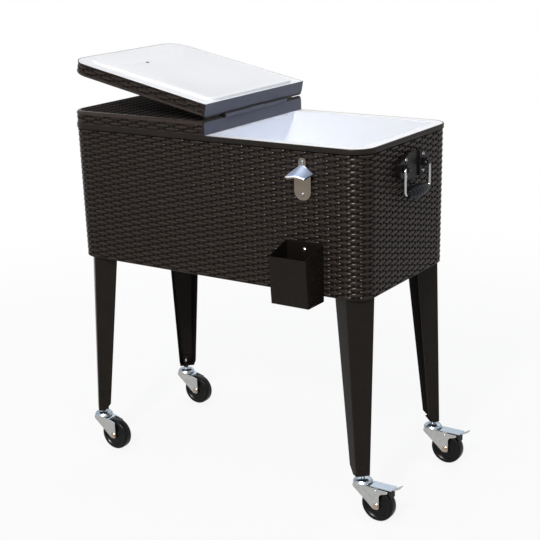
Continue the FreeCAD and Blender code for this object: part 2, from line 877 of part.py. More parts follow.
def make_raceway():
    # pressed dish with the threaded stem through it and the kingpin head under the fork's crown
    low = crown_top + swivel_gap
    half = raceway_radius / 2
    dish = [
        Vector(0, 0, raceway_top - 1),
        Vector(half, 0, raceway_top),
        Vector(raceway_radius - 3, 0, raceway_top - 2),
        Vector(raceway_radius, 0, raceway_top - 6),
        Vector(raceway_radius, 0, low),
        Vector(raceway_radius - 2, 0, low),
        Vector(raceway_radius - 2, 0, raceway_top - 6.5),
        Vector(raceway_radius - 4.5, 0, raceway_top - 4),
        Vector(0, 0, raceway_top - 4),
    ]
    ring = revolved(dish, Vector(0, 0, 0), up)
    head_top = crown_top - crown_sheet - swivel_gap
    top = bracket_z + bracket_sheet + stem_above_bracket
    stem = rod(stem_radius, Vector(0, 0, head_top - kingpin_head_height), Vector(0, 0, top))
    head = rod(kingpin_head_radius, Vector(0, 0, head_top - kingpin_head_height), Vector(0, 0, head_top))
    return ring.fuse([stem, head])


def make_stem_nuts():
    nuts = []
    for height in (bracket_z - nut_height, bracket_z + bracket_sheet):
        base = Vector(0, 0, height)
        bore = rod(stem_radius + running_clearance, base - up, base + up * nut_height * 2)
        nuts.append(hexagon(nut_radius, base, nut_height).cut(bore))
    return nuts


def cheek_corner(x, z, radius):
    return (Vector(x, -cheek_outside, z), radius)


def plain_cheek():
    eye_x, eye_z = wheel_centre.x, wheel_centre.z
    return rounded_outline([
        cheek_corner(-crown_radius + 3, crown_top, 2),
        cheek_corner(crown_radius - 6, crown_top, 12),
        cheek_corner(eye_x + 8, crown_top - 9, 3),
        cheek_corner(eye_x + cheek_eye, eye_z - cheek_eye, cheek_eye * 0.9),
        cheek_corner(eye_x - cheek_eye * 0.7, eye_z - cheek_eye, cheek_eye * 0.8),
        cheek_corner(-crown_radius + 3, crown_top - 8, 3),
    ])


def braked_cheek():
    eye_x, eye_z = wheel_centre.x, wheel_centre.z
    return rounded_outline([
        cheek_corner(-crown_radius + 3, crown_top, 2),
        cheek_corner(pedal_rear - 6, crown_top - 2, 2),
        cheek_corner(pedal_rear - 9, crown_top - 8, 2),
        cheek_corner(eye_x + cheek_eye, crown_top - 14, 10),
        cheek_corner(eye_x + cheek_eye, eye_z - cheek_eye, cheek_eye * 0.9),
        cheek_corner(eye_x - cheek_eye * 0.7, eye_z - cheek_eye, cheek_eye * 0.8),
        cheek_corner(-crown_radius + 3, crown_top - 8, 3),
    ])


def make_fork(braked):
    # crown disc under the raceway, folded down into two cheeks beside the wheel
    cheek = prism(braked_cheek() if braked else plain_cheek(), Vector(0, cheek_sheet, 0))
    cheeks = [cheek, mirrored(cheek, 0, 1)]
    disc = rod(crown_radius, Vector(0, 0, crown_top - crown_sheet), Vector(0, 0, crown_top))
    low = crown_top - crown_sheet
    end = pedal_front - crown_gap if braked else bridge_end
    fall = 0 if braked else bridge_fall
    bend = crown_radius - 6
    section = [
        (0, crown_top),
        (bend, crown_top),
        (end, crown_top - fall),
        (end, low - fall),
        (bend, low),
        (0, low),
    ]
    points = [Vector(x, -cheek_outside + cheek_sheet / 2, z) for x, z in section]
    bridge = prism(Part.makePolygon(points + points[:1]), Vector(0, 2 * cheek_outside - cheek_sheet, 0))
    fork = disc.fuse(cheeks + [bridge])
    cuts = [
        rod(stem_radius + running_clearance, Vector(0, 0, crown_top - 10), Vector(0, 0, crown_top + 1)),
        across_wheel(axle_radius + running_clearance, wheel_centre, cheek_outside + 1),
    ]
    if braked:
        cuts.append(across_wheel(pedal_pin_radius + running_clearance, pedal_pin, cheek_outside + 1))
    return fork.cut(cuts)


def across_wheel(radius, centre, half):
    return rod(radius, centre - Vector(0, half, 0), centre + Vector(0, half, 0))


def make_axle():
    shank = across_wheel(axle_radius, wheel_centre, cheek_outside)
    heads = []
    for side in (-1, 1):
        face = wheel_centre + Vector(0, side * cheek_outside, 0)
        heads.append(rod(axle_head_radius, face, face + Vector(0, side * axle_head_height, 0)))
    return shank.fuse(heads)


def make_wheel():
    # moulded wheel: round-shouldered tread, ring groove in each side and a proud hub
    half = wheel_width / 2
    bore = axle_radius + running_clearance
    web = half - wheel_groove
    hub = half + hub_proud
    rim_inner = wheel_radius - 8
    side = [
        (bore, hub), (hub_radius - 1, hub), (hub_radius, web + 1), (hub_radius + 5, web),
        (rim_inner - 4, web), (rim_inner - 2, half - 0.8), (rim_inner, half), (wheel_radius - 5, half),
        (wheel_radius - 2, half - 1.2), (wheel_radius - 0.5, half - 3.5), (wheel_radius, half - 6.5),
    ]
    profile = [(r, y) for r, y in side] + [(r, -y) for r, y in reversed(side)]
    points = [wheel_centre + Vector(0, y, r) for r, y in profile]
    return revolved(points, wheel_centre, Vector(0, 1, 0))


pedal_pin = Vector(trail - pedal_pin_before_axle, 0, crown_top - pedal_pin_drop)
pedal_half = cheek_inside - pedal_side_gap
pedal_top = crown_top + 1.2


def make_brake_pedal():
    # tread plate between the cheeks with a turned-up tip and two side lugs on stub rivets
    plate = Part.makeBox(pedal_rear - pedal_front, 2 * pedal_half, pedal_sheet,
                         Vector(pedal_front, -pedal_half, pedal_top - pedal_sheet))
    rise = [
        (pedal_rear - 2, pedal_top), (pedal_rear + 3, pedal_top), (pedal_tip, pedal_top + pedal_tip_rise),
        (pedal_tip, pedal_top + pedal_tip_rise - 2 * pedal_sheet), (pedal_rear + 4, pedal_top - pedal_sheet),
        (pedal_rear - 2, pedal_top - pedal_sheet),
    ]
    points = [Vector(x, -pedal_tip_width / 2, z) for x, z in rise]
    tip = prism(Part.makePolygon(points + points[:1]), Vector(0, pedal_tip_width, 0))
    lugs = []
    for side in (-1, 1):
        face = side * pedal_half
        inner = face - side * pedal_sheet
        eye = rod(5, pedal_pin + Vector(0, face, 0), pedal_pin + Vector(0, inner, 0))
        strap = Part.makeBox(10, pedal_sheet, pedal_top - pedal_pin.z,
                             Vector(pedal_pin.x - 5, min(face, inner), pedal_pin.z))
        lugs += [eye, strap]
    bore = across_wheel(pedal_pin_radius + running_clearance, pedal_pin, cheek_outside)
    return plate.fuse([tip] + lugs).cut(bore)


def make_pedal_rivets():
    # one stub rivet through each cheek and lug, ending short of the wheel
    rivets = []
    for side in (-1, 1):
        inner = pedal_pin + Vector(0, side * (pedal_half - pedal_sheet), 0)
        face = pedal_pin + Vector(0, side * cheek_outside, 0)
        head = rod(pedal_pin_radius + 1.4, face, face + Vector(0, side * 1.4, 0))
        rivets.append(rod(pedal_pin_radius, inner, face).fuse(head))
    return rivets


def make_brake_shoe():
    # block under the pedal, hollowed to the wheel's round and held clear of it
    block = Part.makeBox(shoe_length, shoe_width, crown_top,
                         Vector(pedal_rear - shoe_length - shoe_from_tip, -shoe_width / 2, 0))
    top = pedal_top - pedal_sheet
    above = Part.makeBox(rim_length, rim_width, rim_length, Vector(-rim_length / 2, -rim_width / 2, top))
    below = Part.makeBox(rim_length, rim_width, wheel_radius + shoe_over_axle,
                         Vector(-rim_length / 2, -rim_width / 2, 0))
    return block.cut([above, below, across_wheel(wheel_radius + shoe_gap, wheel_centre, shoe_width)])


os.makedirs("parts", exist_ok=True)

export("wicker_shell", make_wicker_shell())
export("inner_liner", make_inner_liner())
export("insulation_foam", make_insulation())
export("drain_spout", make_drain_spout())
export("drain_nut", make_drain_nut())
export("drain_cap", make_drain_cap())

export("left_lid_shell", make_left_lid())
export("left_lid_liner", mirrored(make_lid_liner(), 1, 0))
export("left_lid_foam", mirrored(make_lid_foam(), 1, 0))
export("hinge_pin", make_hinge_pin())
export("right_lid_shell", folded_open(make_right_lid()))
export("right_lid_liner", folded_open(make_lid_liner()))
export("right_lid_foam", folded_open(make_lid_foam()))

corners = {
    "front_left": (1, 1),
    "front_right": (0, 1),
    "rear_left": (1, 0),
    "rear_right": (0, 0),
}
leg = make_leg()
foot_bracket = make_foot_bracket()
leg_bolts = []
foot_rivets = []
stem_nuts = []
for corner, (flip_x, flip_y) in corners.items():
    export(corner + "_leg", mirrored(leg, flip_x, flip_y))
    export(corner + "_foot_bracket", mirrored(foot_bracket, flip_x, flip_y))
    leg_bolts += [mirrored(make_leg_bolt(place), flip_x, flip_y) for place in leg_bolt_places()]
    foot_rivets.append(mirrored(make_rivet(), flip_x, flip_y))
    stem = corner_centre + Vector(stem_out_x, stem_out_y, 0)
    stem = Vector(-stem.x if flip_x else stem.x, -stem.y if flip_y else stem.y, 0)
    braked = not flip_x
    pieces = {
        "_caster_raceway": make_raceway(),
        "_caster_fork": make_fork(braked),
        "_caster_axle": make_axle(),
        "_caster_wheel": make_wheel(),
    }
    if braked:
        pieces["_brake_pedal"] = make_brake_pedal()
        pieces["_pedal_rivets"] = Part.makeCompound(make_pedal_rivets())
        pieces["_brake_shoe"] = make_brake_shoe()
    for suffix, piece in pieces.items():
        export(corner + suffix, piece.translate(stem))
    stem_nuts += [nut.translate(stem) for nut in make_stem_nuts()]
export("leg_bolts", Part.makeCompound(leg_bolts))
export("foot_rivets", Part.makeCompound(foot_rivets))
export("stem_nuts", Part.makeCompound(stem_nuts))

handle_pieces = {
    "handle_plate": make_handle_plate(),
    "handle_screws": Part.makeCompound([screw(p, outward_x, handle_thick) for p in handle_screws]),
    "handle_bail": make_handle_bail(),
    "handle_grip": make_handle_grip(),
}
for name, piece in handle_pieces.items():
    export("right_" + name, piece)
    export("left_" + name, mirrored(piece, 1, 0))

export("bottle_opener", make_bottle_opener())
export("opener_screws", Part.makeCompound([screw(p, outward_y, opener_sheet) for p in opener_screws]))
export("cap_catcher", make_cap_catcher())
export("catcher_screws", Part.makeCompound([screw(p, outward_y, catcher_sheet) for p in catcher_screws]))
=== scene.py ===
import json
import math
import bmesh
import bpy
import numpy as np
from mathutils import Matrix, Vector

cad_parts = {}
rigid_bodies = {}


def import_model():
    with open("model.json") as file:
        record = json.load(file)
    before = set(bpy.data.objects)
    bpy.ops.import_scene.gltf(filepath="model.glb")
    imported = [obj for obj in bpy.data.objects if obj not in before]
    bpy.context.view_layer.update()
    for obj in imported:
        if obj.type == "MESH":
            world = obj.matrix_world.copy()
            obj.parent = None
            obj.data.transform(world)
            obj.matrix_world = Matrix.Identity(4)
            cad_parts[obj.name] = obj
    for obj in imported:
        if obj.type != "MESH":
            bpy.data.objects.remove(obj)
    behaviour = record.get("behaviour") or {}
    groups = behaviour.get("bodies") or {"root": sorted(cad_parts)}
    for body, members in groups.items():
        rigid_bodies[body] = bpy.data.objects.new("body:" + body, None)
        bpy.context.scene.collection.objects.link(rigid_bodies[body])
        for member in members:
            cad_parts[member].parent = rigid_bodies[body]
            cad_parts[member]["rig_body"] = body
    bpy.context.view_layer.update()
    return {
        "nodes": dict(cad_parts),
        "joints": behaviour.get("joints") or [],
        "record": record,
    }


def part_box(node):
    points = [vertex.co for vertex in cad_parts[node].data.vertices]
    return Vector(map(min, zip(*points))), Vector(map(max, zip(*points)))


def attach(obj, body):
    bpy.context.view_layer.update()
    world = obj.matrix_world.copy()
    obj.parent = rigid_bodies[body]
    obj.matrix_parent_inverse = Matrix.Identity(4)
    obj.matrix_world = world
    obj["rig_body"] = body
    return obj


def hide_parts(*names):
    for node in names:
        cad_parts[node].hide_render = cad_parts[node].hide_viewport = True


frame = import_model()
nodes = frame["nodes"]
mm = 0.001
weld = 2e-6     # metres; points of a CAD mesh nearer than this are one
tiny = 1e-6
scene = bpy.context.scene


# Shader pieces that several finishes share

def newGroup(name, inputs, outputs):
    group = bpy.data.node_groups.new(name, "ShaderNodeTree")
    for label, kind, value in inputs:
        socket = group.interface.new_socket(label, in_out="INPUT", socket_type=kind)
        socket.default_value = value
    for label, kind in outputs:
        group.interface.new_socket(label, in_out="OUTPUT", socket_type=kind)
    return group, group.nodes.new("NodeGroupInput"), group.nodes.new("NodeGroupOutput")


def addNode(tree, kind, **settings):
    node = tree.nodes.new(kind)
    for label, value in settings.items():
        setattr(node, label, value)
    return node


def addMath(tree, operation, first, second, clamp=False):
    node = addNode(tree, "ShaderNodeMath", operation=operation, use_clamp=clamp)
    for socket, value in zip(node.inputs, (first, second)):
        if isinstance(value, (int, float)):
            socket.default_value = value
        else:
            tree.links.new(value, socket)
    return node.outputs[0]


def addMix(tree, factor, first, second):
    # each colour is a socket or three numbers; the node's colour sockets are 6 and 7 going in, 2 going out
    node = addNode(tree, "ShaderNodeMix", data_type="RGBA")
    tree.links.new(factor, node.inputs[0])
    for socket, value in ((node.inputs[6], first), (node.inputs[7], second)):
        if isinstance(value, tuple):
            socket.default_value = value + (1.0,)
        else:
            tree.links.new(value, socket)
    return node.outputs[2]


def addNoise(tree, place, scale, detail):
    noise = addNode(tree, "ShaderNodeTexNoise")
    noise.inputs["Detail"].default_value = detail
    tree.links.new(place, noise.inputs["Vector"])
    tree.links.new(scale, noise.inputs["Scale"])
    return noise.outputs["Fac"]


grainNoise = dict(patchDetail=5, fineDetail=3)


def surfaceGrain(noise):
    # broad patches shift the tone and the gloss, fine noise gives the height of a bump
    group, given, result = newGroup(
        "surfaceGrain",
        [("Colour", "NodeSocketColor", (0.5, 0.5, 0.5, 1)), ("Spread", "NodeSocketFloat", 0.2),
         ("Patch Scale", "NodeSocketFloat", 20.0), ("Fine Scale", "NodeSocketFloat", 900.0),
         ("Gloss", "NodeSocketFloat", 0.4), ("Gloss Spread", "NodeSocketFloat", 0.1)],
        [("Colour", "NodeSocketColor"), ("Roughness", "NodeSocketFloat"), ("Height", "NodeSocketFloat")])
    place = addNode(group, "ShaderNodeTexCoord").outputs["Object"]
    patches = addNoise(group, place, given.outputs["Patch Scale"], noise["patchDetail"])
    fine = addNoise(group, place, given.outputs["Fine Scale"], noise["fineDetail"])
    centred = addMath(group, "MULTIPLY", addMath(group, "SUBTRACT", patches, 0.5), 2.0)     # from -1 to 1
    gain = addMath(group, "ADD", addMath(group, "MULTIPLY", centred, given.outputs["Spread"]), 1.0)
    toned = addNode(group, "ShaderNodeVectorMath", operation="SCALE")
    group.links.new(given.outputs["Colour"], toned.inputs[0])
    group.links.new(gain, toned.inputs["Scale"])
    group.links.new(toned.outputs[0], result.inputs["Colour"])
    glossShift = addMath(group, "MULTIPLY", centred, given.outputs["Gloss Spread"])
    gloss = addMath(group, "ADD", glossShift, given.outputs["Gloss"], True)
    group.links.new(gloss, result.inputs["Roughness"])
    group.links.new(fine, result.inputs["Height"])
    return group


grain = surfaceGrain(grainNoise)
plainLook = dict(spread=0.12, patches=25.0, fine=900.0, glossSpread=0.08, metallic=0.0, specular=0.5,
                 tint=(1.0, 1.0, 1.0), bump=0.15, bumpDepth=0.0003, upFrom=0.1, upTo=0.8)


def grainFinish(name, ownLook):
    # one finish: grain group into a Principled shader, with a bump whose depth is in metres
    look = {**plainLook, **ownLook}
    material = bpy.data.materials.new(name)
    material.use_nodes = True
    tree = material.node_tree
    shader = tree.nodes["Principled BSDF"]
    group = addNode(tree, "ShaderNodeGroup", node_tree=grain)
    group.inputs["Colour"].default_value = look["colour"] + (1.0,)
    group.inputs["Spread"].default_value = look["spread"]
    group.inputs["Patch Scale"].default_value = look["patches"]
    group.inputs["Fine Scale"].default_value = look["fine"]
    group.inputs["Gloss"].default_value = look["roughness"]
    group.inputs["Gloss Spread"].default_value = look["glossSpread"]
    colour = group.outputs["Colour"]
    if "paintedSkyTint" in look:
        # painted sky reflection: the metal's colour turns bluer where the piece faces up
        facing = addNode(tree, "ShaderNodeSeparateXYZ")
        tree.links.new(addNode(tree, "ShaderNodeTexCoord").outputs["Normal"], facing.inputs[0])
        rise = addNode(tree, "ShaderNodeMapRange", interpolation_type="SMOOTHSTEP")
        rise.inputs["From Min"].default_value = look["upFrom"]
        rise.inputs["From Max"].default_value = look["upTo"]
        tree.links.new(facing.outputs["Z"], rise.inputs["Value"])
        colour = addMix(tree, rise.outputs["Result"], colour, look["paintedSkyTint"])
    tree.links.new(colour, shader.inputs["Base Color"])
    tree.links.new(group.outputs["Roughness"], shader.inputs["Roughness"])
    shader.inputs["Metallic"].default_value = look["metallic"]
    shader.inputs["Specular IOR Level"].default_value = look["specular"]
    shader.inputs["Specular Tint"].default_value = look["tint"] + (1.0,)
    bump = addNode(tree, "ShaderNodeBump")
    bump.inputs["Strength"].default_value = look["bump"]
    bump.inputs["Distance"].default_value = look["bumpDepth"]
    tree.links.new(group.outputs["Height"], bump.inputs["Height"])
    tree.links.new(bump.outputs["Normal"], shader.inputs["Normal"])
    return material


finishes = {
    "whitePlastic": dict(colour=(0.915, 0.92, 0.93), roughness=0.36, spread=0.015, glossSpread=0.05,
                         bump=0.03, specular=0.2),
    "foam": dict(colour=(0.72, 0.63, 0.38), roughness=0.9, spread=0.12, fine=500, bump=0.6),
    "legPaint": dict(colour=(0.0172, 0.0142, 0.0118), roughness=0.34, spread=0.15, fine=1400, bump=0.1,
                     specular=0.045),
    "catcherPaint": dict(colour=(0.0105, 0.0084, 0.0070), roughness=0.26, spread=0.15, fine=1400, bump=0.06,
                         specular=0.095, tint=(1.0, 0.93, 0.87)),
    "blackMetal": dict(colour=(0.010, 0.010, 0.0105), roughness=0.3, spread=0.2, fine=1500, bump=0.15,
                       specular=0.14),
    "brightSteel": dict(colour=(0.50, 0.50, 0.50), metallic=1.0, roughness=0.24, glossSpread=0.1, fine=1800),
    "screwSteel": dict(colour=(0.21, 0.21, 0.22), metallic=1.0, roughness=0.2, glossSpread=0.08, fine=1800),
    # the opener's steel is darkened and warmed by painted shade from the hood and a painted reflection of
    # warm ground
    "satinSteel": dict(colour=(0.180, 0.152, 0.124), metallic=1.0, roughness=0.25, glossSpread=0.1, fine=1600,
                       paintedSkyTint=(0.21, 0.26, 0.36)),
    # the hood's bluish colour is a painted reflection of a blue sky
    "hoodSteel": dict(colour=(0.25, 0.30, 0.41), metallic=1.0, roughness=0.5, glossSpread=0.06, fine=1600),
    # the pale steel of the rolled lip is a painted highlight
    "lipSteel": dict(colour=(0.66, 0.66, 0.66), metallic=1.0, roughness=0.35, glossSpread=0.06, fine=1600),
    "blackPlastic": dict(colour=(0.0100, 0.0088, 0.0082), roughness=0.28, spread=0.2, fine=1200, bump=0.12,
                         specular=0.06),
    "chrome": dict(colour=(0.37, 0.38, 0.385), metallic=1.0, roughness=0.16, glossSpread=0.04, bump=0.02),
    "gripPlastic": dict(colour=(0.0105, 0.0118, 0.0160), roughness=0.38, spread=0.2, fine=1200, bump=0.15,
                        specular=0.06),
    "copperZinc": dict(colour=(0.36, 0.27, 0.215), metallic=1.0, roughness=0.3, glossSpread=0.1, fine=1600),
    "wheelPlastic": dict(colour=(0.006, 0.006, 0.006), roughness=0.32, spread=0.2, fine=1000, bump=0.12,
                         specular=0.11),
    "brakeRubber": dict(colour=(0.008, 0.008, 0.008), roughness=0.6, spread=0.2, fine=900, bump=0.3,
                        specular=0.15),
    "drainPlastic": dict(colour=(0.66, 0.66, 0.64), roughness=0.4, spread=0.04),
    "zinc": dict(colour=(0.41, 0.415, 0.405), metallic=1.0, roughness=0.24, spread=0.2, glossSpread=0.12,
                 patches=90, fine=2000, paintedSkyTint=(0.27, 0.33, 0.40)),
    "lidEnd": dict(colour=(0.0175, 0.0155, 0.0142), roughness=0.36, spread=0.12, fine=1300, bump=0.1,
                   specular=0.1),
    # the seam faces' pale bluish colour, paler than the lid's own, is painted light thrown on them by the
    # white tub
    "lidSeam": dict(colour=(0.088, 0.094, 0.132), roughness=0.3, spread=0.1, fine=1300, bump=0.06,
                    specular=0.16),
    "rimPlastic": dict(colour=(0.0208, 0.0172, 0.0150), roughness=0.34, spread=0.12, fine=1300, bump=0.1,
                       specular=0.06, tint=(1.0, 0.94, 0.88)),
}
finish = {name: grainFinish(name, look) for name, look in finishes.items()}
slotFinish = {
    "liner": "whitePlastic", "foam": "foam", "leg_paint": "legPaint", "fastener": "blackMetal",
    "steel": "brightSteel", "opener": "satinSteel", "handle_plastic": "blackPlastic", "chrome": "chrome",
    "grip": "gripPlastic", "axle": "copperZinc", "wheel": "wheelPlastic", "shoe": "brakeRubber",
    "drain": "drainPlastic", "zinc": "zinc", "wicker": "lidEnd",
}
ownFinish = {
    "hinge_pin": "blackMetal", "cap_catcher": "catcherPaint", "opener_screws": "screwSteel",
    "right_handle_screws": "screwSteel", "left_handle_screws": "screwSteel",
    "front_right_pedal_rivets": "zinc", "rear_right_pedal_rivets": "zinc",
}
slotOf = {part["node"]: part["material_slot"] for part in frame["record"]["subparts"]}


def dress(mesh, nodeName):
    # the node's own finish, or else its slot's
    mesh.materials.clear()
    mesh.materials.append(finish[ownFinish.get(nodeName, slotFinish[slotOf[nodeName]])])


for nodeName in slotOf:
    dress(nodes[nodeName].data, nodeName)
print("finishes on", len(nodes), "nodes")


# Wicker: strands and stakes as one height field in mm, used on the shell and on the lids

# the darkest colour is painted shade, for the holes, the grooves and the vent
wicker = dict(stakePitch=26.8, rowPitch=6.6, strandHalf=4.3, endHalf=2.1, strandRise=2.2, overLift=0.25,
              dip=3.6, dipFrom=6.6, dipTo=11.4, stakeHalf=4.4, stakeTop=-0.75, stakeRise=2.4, floor=-3.0,
              topColour=(0.0512, 0.0392, 0.0337), paintedShadeColour=(0.0004, 0.0003, 0.0003), specular=0.05,
              roughness=0.2, holeRoughness=0.6, glossClimb=2.0)
# the lid tops take a paler copy of the wicker colour, painted light that lifts them from the folded lid's
# shadow and their darkened columns
topWicker = dict(wicker, topColour=(0.0760, 0.0620, 0.0560), specular=0.006, roughness=0.5)
# painted shading of the strands: shade in the holes, painted top light towards each strand's upper edge, and
# a painted highlight streak on the crown
paintedStrandShading = dict(holeDepth=2.0, clearRise=1.9, base=0.50, paintedTopLight=0.34, paintedTopLightFrom=0.15, paintedTopLightTo=0.8,
                  paintedHighlight=0.16, paintedHighlightAt=0.7, paintedHighlightWide=0.13, paintedHighlightFrom=-0.7, paintedHighlightTo=0.1)
belowAll = 9.0      # a drop that takes the outside of a strand below every hole


def mirroredSteps(half, pitch):
    # uneven steps over one pitch as shares of it, the same on both sides of its middle
    half = np.array(half)
    return np.concatenate([[0], half, [pitch / 2], pitch - half[::-1]]) / pitch


stakeSteps = mirroredSteps([2.6, 4.3, 4.9, 6.8, 8.6, 10.4], wicker["stakePitch"])
rowSteps = mirroredSteps([0.4, 1.1, 2.0], wicker["rowPitch"])


def stepped(first, last, steps, pitch):
    # the same uneven steps in every pitch from first to last, closed with the end
    whole = np.arange(first, last)
    return np.append((whole[:, None] + steps[None]).ravel(), last) * pitch


def easing(x, start, end):
    # 0 before start, 1 after end, smooth between
    t = np.clip((x - start) / (end - start), 0, 1)
    return t * t * (3 - 2 * t)


def crown(off, rise):
    # half round that falls from 0 in the middle to -rise at its edge, and far below past it
    off = np.clip(off, 0, 1)
    return rise * (np.sqrt(1 - off ** 2) - 1) - belowAll * (off >= 1)


def strandHeight(u, v, row, weave):
    # crowned strand over one stake that narrows and dives behind the next; across the row it is half round
    phase = u / weave["stakePitch"] + row
    # away: distance from the stake that it dives behind
    away = np.abs((phase + 1.0) % 2.0 - 1.0) * weave["stakePitch"]
    shown = easing(away, weave["dipFrom"], weave["dipTo"])
    centre = weave["overLift"] * -np.cos(np.pi * phase) - weave["dip"] * (1 - shown)
    widening = easing(away, weave["dipFrom"], 2 * weave["dipTo"])
    half = weave["endHalf"] + (weave["strandHalf"] - weave["endHalf"]) * widening
    return centre + crown(np.abs(v - (row + 0.5) * weave["rowPitch"]) / half, weave["strandRise"])


def weaveHeight(u, v, weave):
    # highest of the strand of this row, its two neighbours, the upright stakes and the hole's floor
    row = np.floor(v / weave["rowPitch"])
    strands = [strandHeight(u, v, row + step, weave) for step in (-1, 0, 1)]
    off = np.abs((u / weave["stakePitch"] + 0.5) % 1.0 - 0.5) * weave["stakePitch"] / weave["stakeHalf"]
    stake = weave["stakeTop"] + crown(off, weave["stakeRise"])
    return np.maximum(np.maximum.reduce(strands), np.maximum(stake, weave["floor"]))


def paintedWeaveShading(lift, v, weave):
    # painted shading: 0 in the holes, painted shade; strands get paler towards their upper edge, painted top
    # light, with a thin painted highlight streak on the crown
    tone = paintedStrandShading
    up = (v / weave["rowPitch"]) % 1.0
    paintedHighlight = np.exp(-((up - tone["paintedHighlightAt"]) / tone["paintedHighlightWide"]) ** 2)
    paintedHighlight = paintedHighlight * easing(lift, tone["paintedHighlightFrom"], tone["paintedHighlightTo"])
    paintedTopLight = easing(up, tone["paintedTopLightFrom"], tone["paintedTopLightTo"])
    clear = np.clip((lift + tone["holeDepth"]) / tone["clearRise"], 0, 1)
    return clear * (tone["base"] + tone["paintedTopLight"] * paintedTopLight + tone["paintedHighlight"] * paintedHighlight)


def wickerFinish(name, weave):
    # the painted shading on each point fades the colour to the near-black painted shade of the holes; the
    # holes are dull
    # a piece with no such shading values takes that painted shade all over
    material = grainFinish(name, dict(
        colour=weave["topColour"], roughness=weave["roughness"], spread=0.2, glossSpread=0.04, patches=60,
        fine=1500, bump=0.03, specular=weave["specular"], tint=(1.0, 0.94, 0.88)))
    tree = material.node_tree
    shader = tree.nodes["Principled BSDF"]
    paintedShading = addNode(tree, "ShaderNodeAttribute", attribute_name="paintedShading").outputs["Fac"]
    group = next(node for node in tree.nodes if node.type == "GROUP")
    colour = addMix(tree, paintedShading, weave["paintedShadeColour"], group.outputs["Colour"])
    tree.links.new(colour, shader.inputs["Base Color"])
    glossy = addMath(tree, "MULTIPLY", paintedShading, weave["glossClimb"])
    dull = addMath(tree, "SUBTRACT", weave["holeRoughness"], glossy, True)
    roughness = addMath(tree, "MAXIMUM", dull, group.outputs["Roughness"])
    tree.links.new(roughness, shader.inputs["Roughness"])
    return material


finish["wicker"] = wickerFinish("wicker", wicker)
finish["topWicker"] = wickerFinish("topWicker", topWicker)


def meshFromGrid(name, points, body, material, closedU=False, paintedShading=None, flip=False):
    # points: rows x columns x 3 in mm; quads between neighbours, first and last column joined when closed
    rows, columns = points.shape[:2]
    index = np.arange(rows * columns).reshape(rows, columns)
    if closedU:
        index = np.concatenate([index, index[:, :1]], axis=1)
    quads = np.stack([index[:-1, :-1], index[:-1, 1:], index[1:, 1:], index[1:, :-1]], axis=-1).reshape(-1, 4)
    if flip:
        quads = quads[:, ::-1]
    mesh = bpy.data.meshes.new(name)
    mesh.vertices.add(rows * columns)
    mesh.vertices.foreach_set("co", (points.astype(np.float32) * mm).ravel())
    mesh.loops.add(quads.size)
    mesh.loops.foreach_set("vertex_index", quads.astype(np.int32).ravel())
    mesh.polygons.add(len(quads))
    mesh.polygons.foreach_set("loop_start", np.arange(0, quads.size, 4, dtype=np.int32))
    mesh.update(calc_edges=True)
    mesh.polygons.foreach_set("use_smooth", np.full(len(quads), True))
    # the painted shading of the weave goes on each point, for its material
    if paintedShading is not None:
        attribute = mesh.attributes.new("paintedShading", "FLOAT", "POINT")
        attribute.data.foreach_set("value", paintedShading.astype(np.float32).ravel())
    mesh.materials.append(material)
    mesh.validate()
    piece = bpy.data.objects.new(name, mesh)
    scene.collection.objects.link(piece)
    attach(piece, body)
    return piece


# Shell: wicker wall in six pieces, a groove over it in painted shade, a smooth rim band, a foot and a plain
# base

shellLow, shellHigh = (np.array(corner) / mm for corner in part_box("wicker_shell"))
shell = dict(cornerRadius=50.0, bandHeight=11.0, bandProud=1.5, draft=3.5, stakes=86, plainFoot=1.5,
             pathSteps=320, sharpTurn=50,
             grooveHeight=2.2, grooveDepth=3.0, grooveSink=2.0, grooveLap=0.1,
             rimTuck=1.2, lowRound=0.7, lowCut=0.2, topRound=1.0, topCut=0.3,
             lip=2.5, lipDrop=2.5, ledge=5.0, cover=3.2, coverRise=0.15, coverFoot=0.2, coverSlant=0.1,
             footRadius=2.5, footNear=0.3, footFar=0.7, footEase=0.05, footLap=2.0, footLean=0.1,
             footTuck=2.9, baseColumns=40, baseRows=80)
coreX = shellHigh[0] - shell["cornerRadius"]
coreY = shellHigh[1] - shell["cornerRadius"]
shellTall = shellHigh[2] - shellLow[2]


def pathEnds(radius):
    # rounded rectangle: where each straight side and corner arc ends, run from the middle of the front to +X
    arc = math.pi / 2 * radius
    runs = [coreX, arc, 2 * coreY, arc, 2 * coreX, arc, 2 * coreY, arc, coreX]
    return np.concatenate([[0], np.cumsum(runs)])


def aroundPath(distance, radius):
    # core point and outward normal at a distance along that path; the sides are even legs, the arcs odd ones
    ends = pathEnds(radius)
    run = np.mod(distance, ends[-1])
    leg = np.clip(np.searchsorted(ends, run, side="right") - 1, 0, len(ends) - 2)
    along = run - ends[leg]
    turn = (leg // 2) * (math.pi / 2) + np.where(leg % 2 == 1, along / radius, 0.0)
    normal = np.stack([np.sin(turn), -np.cos(turn)], axis=-1)
    cornerX = np.array([0, coreX, coreX, coreX, coreX, -coreX, -coreX, -coreX, -coreX])
    cornerY = np.array([-coreY, -coreY, -coreY, coreY, coreY, coreY, coreY, -coreY, -coreY])
    straight = np.where(leg % 2 == 0, along, 0.0)
    stepX = np.array([1, 0, 0, 0, -1, 0, 0, 0, 1])[leg]
    stepY = np.array([0, 0, 1, 0, 0, 0, -1, 0, 0])[leg]
    core = np.stack([cornerX[leg] + stepX * straight, cornerY[leg] + stepY * straight], axis=-1)
    return core, normal


def wallRadius(z):
    # corner radius of the drafted wall at a height
    return shell["cornerRadius"] - shell["bandProud"] - shell["draft"] * (shellHigh[2] - z) / shellTall


def pastCorner(y, halfY, radius):
    # how far a place across Y is past the start of the outline's corner
    return np.maximum(np.abs(y) - (halfY - radius), 0)


def sideReach(past, halfX, radius):
    # how far the rounded outline reaches in X there
    return halfX - radius + np.sqrt(np.maximum(radius ** 2 - past ** 2, 0))


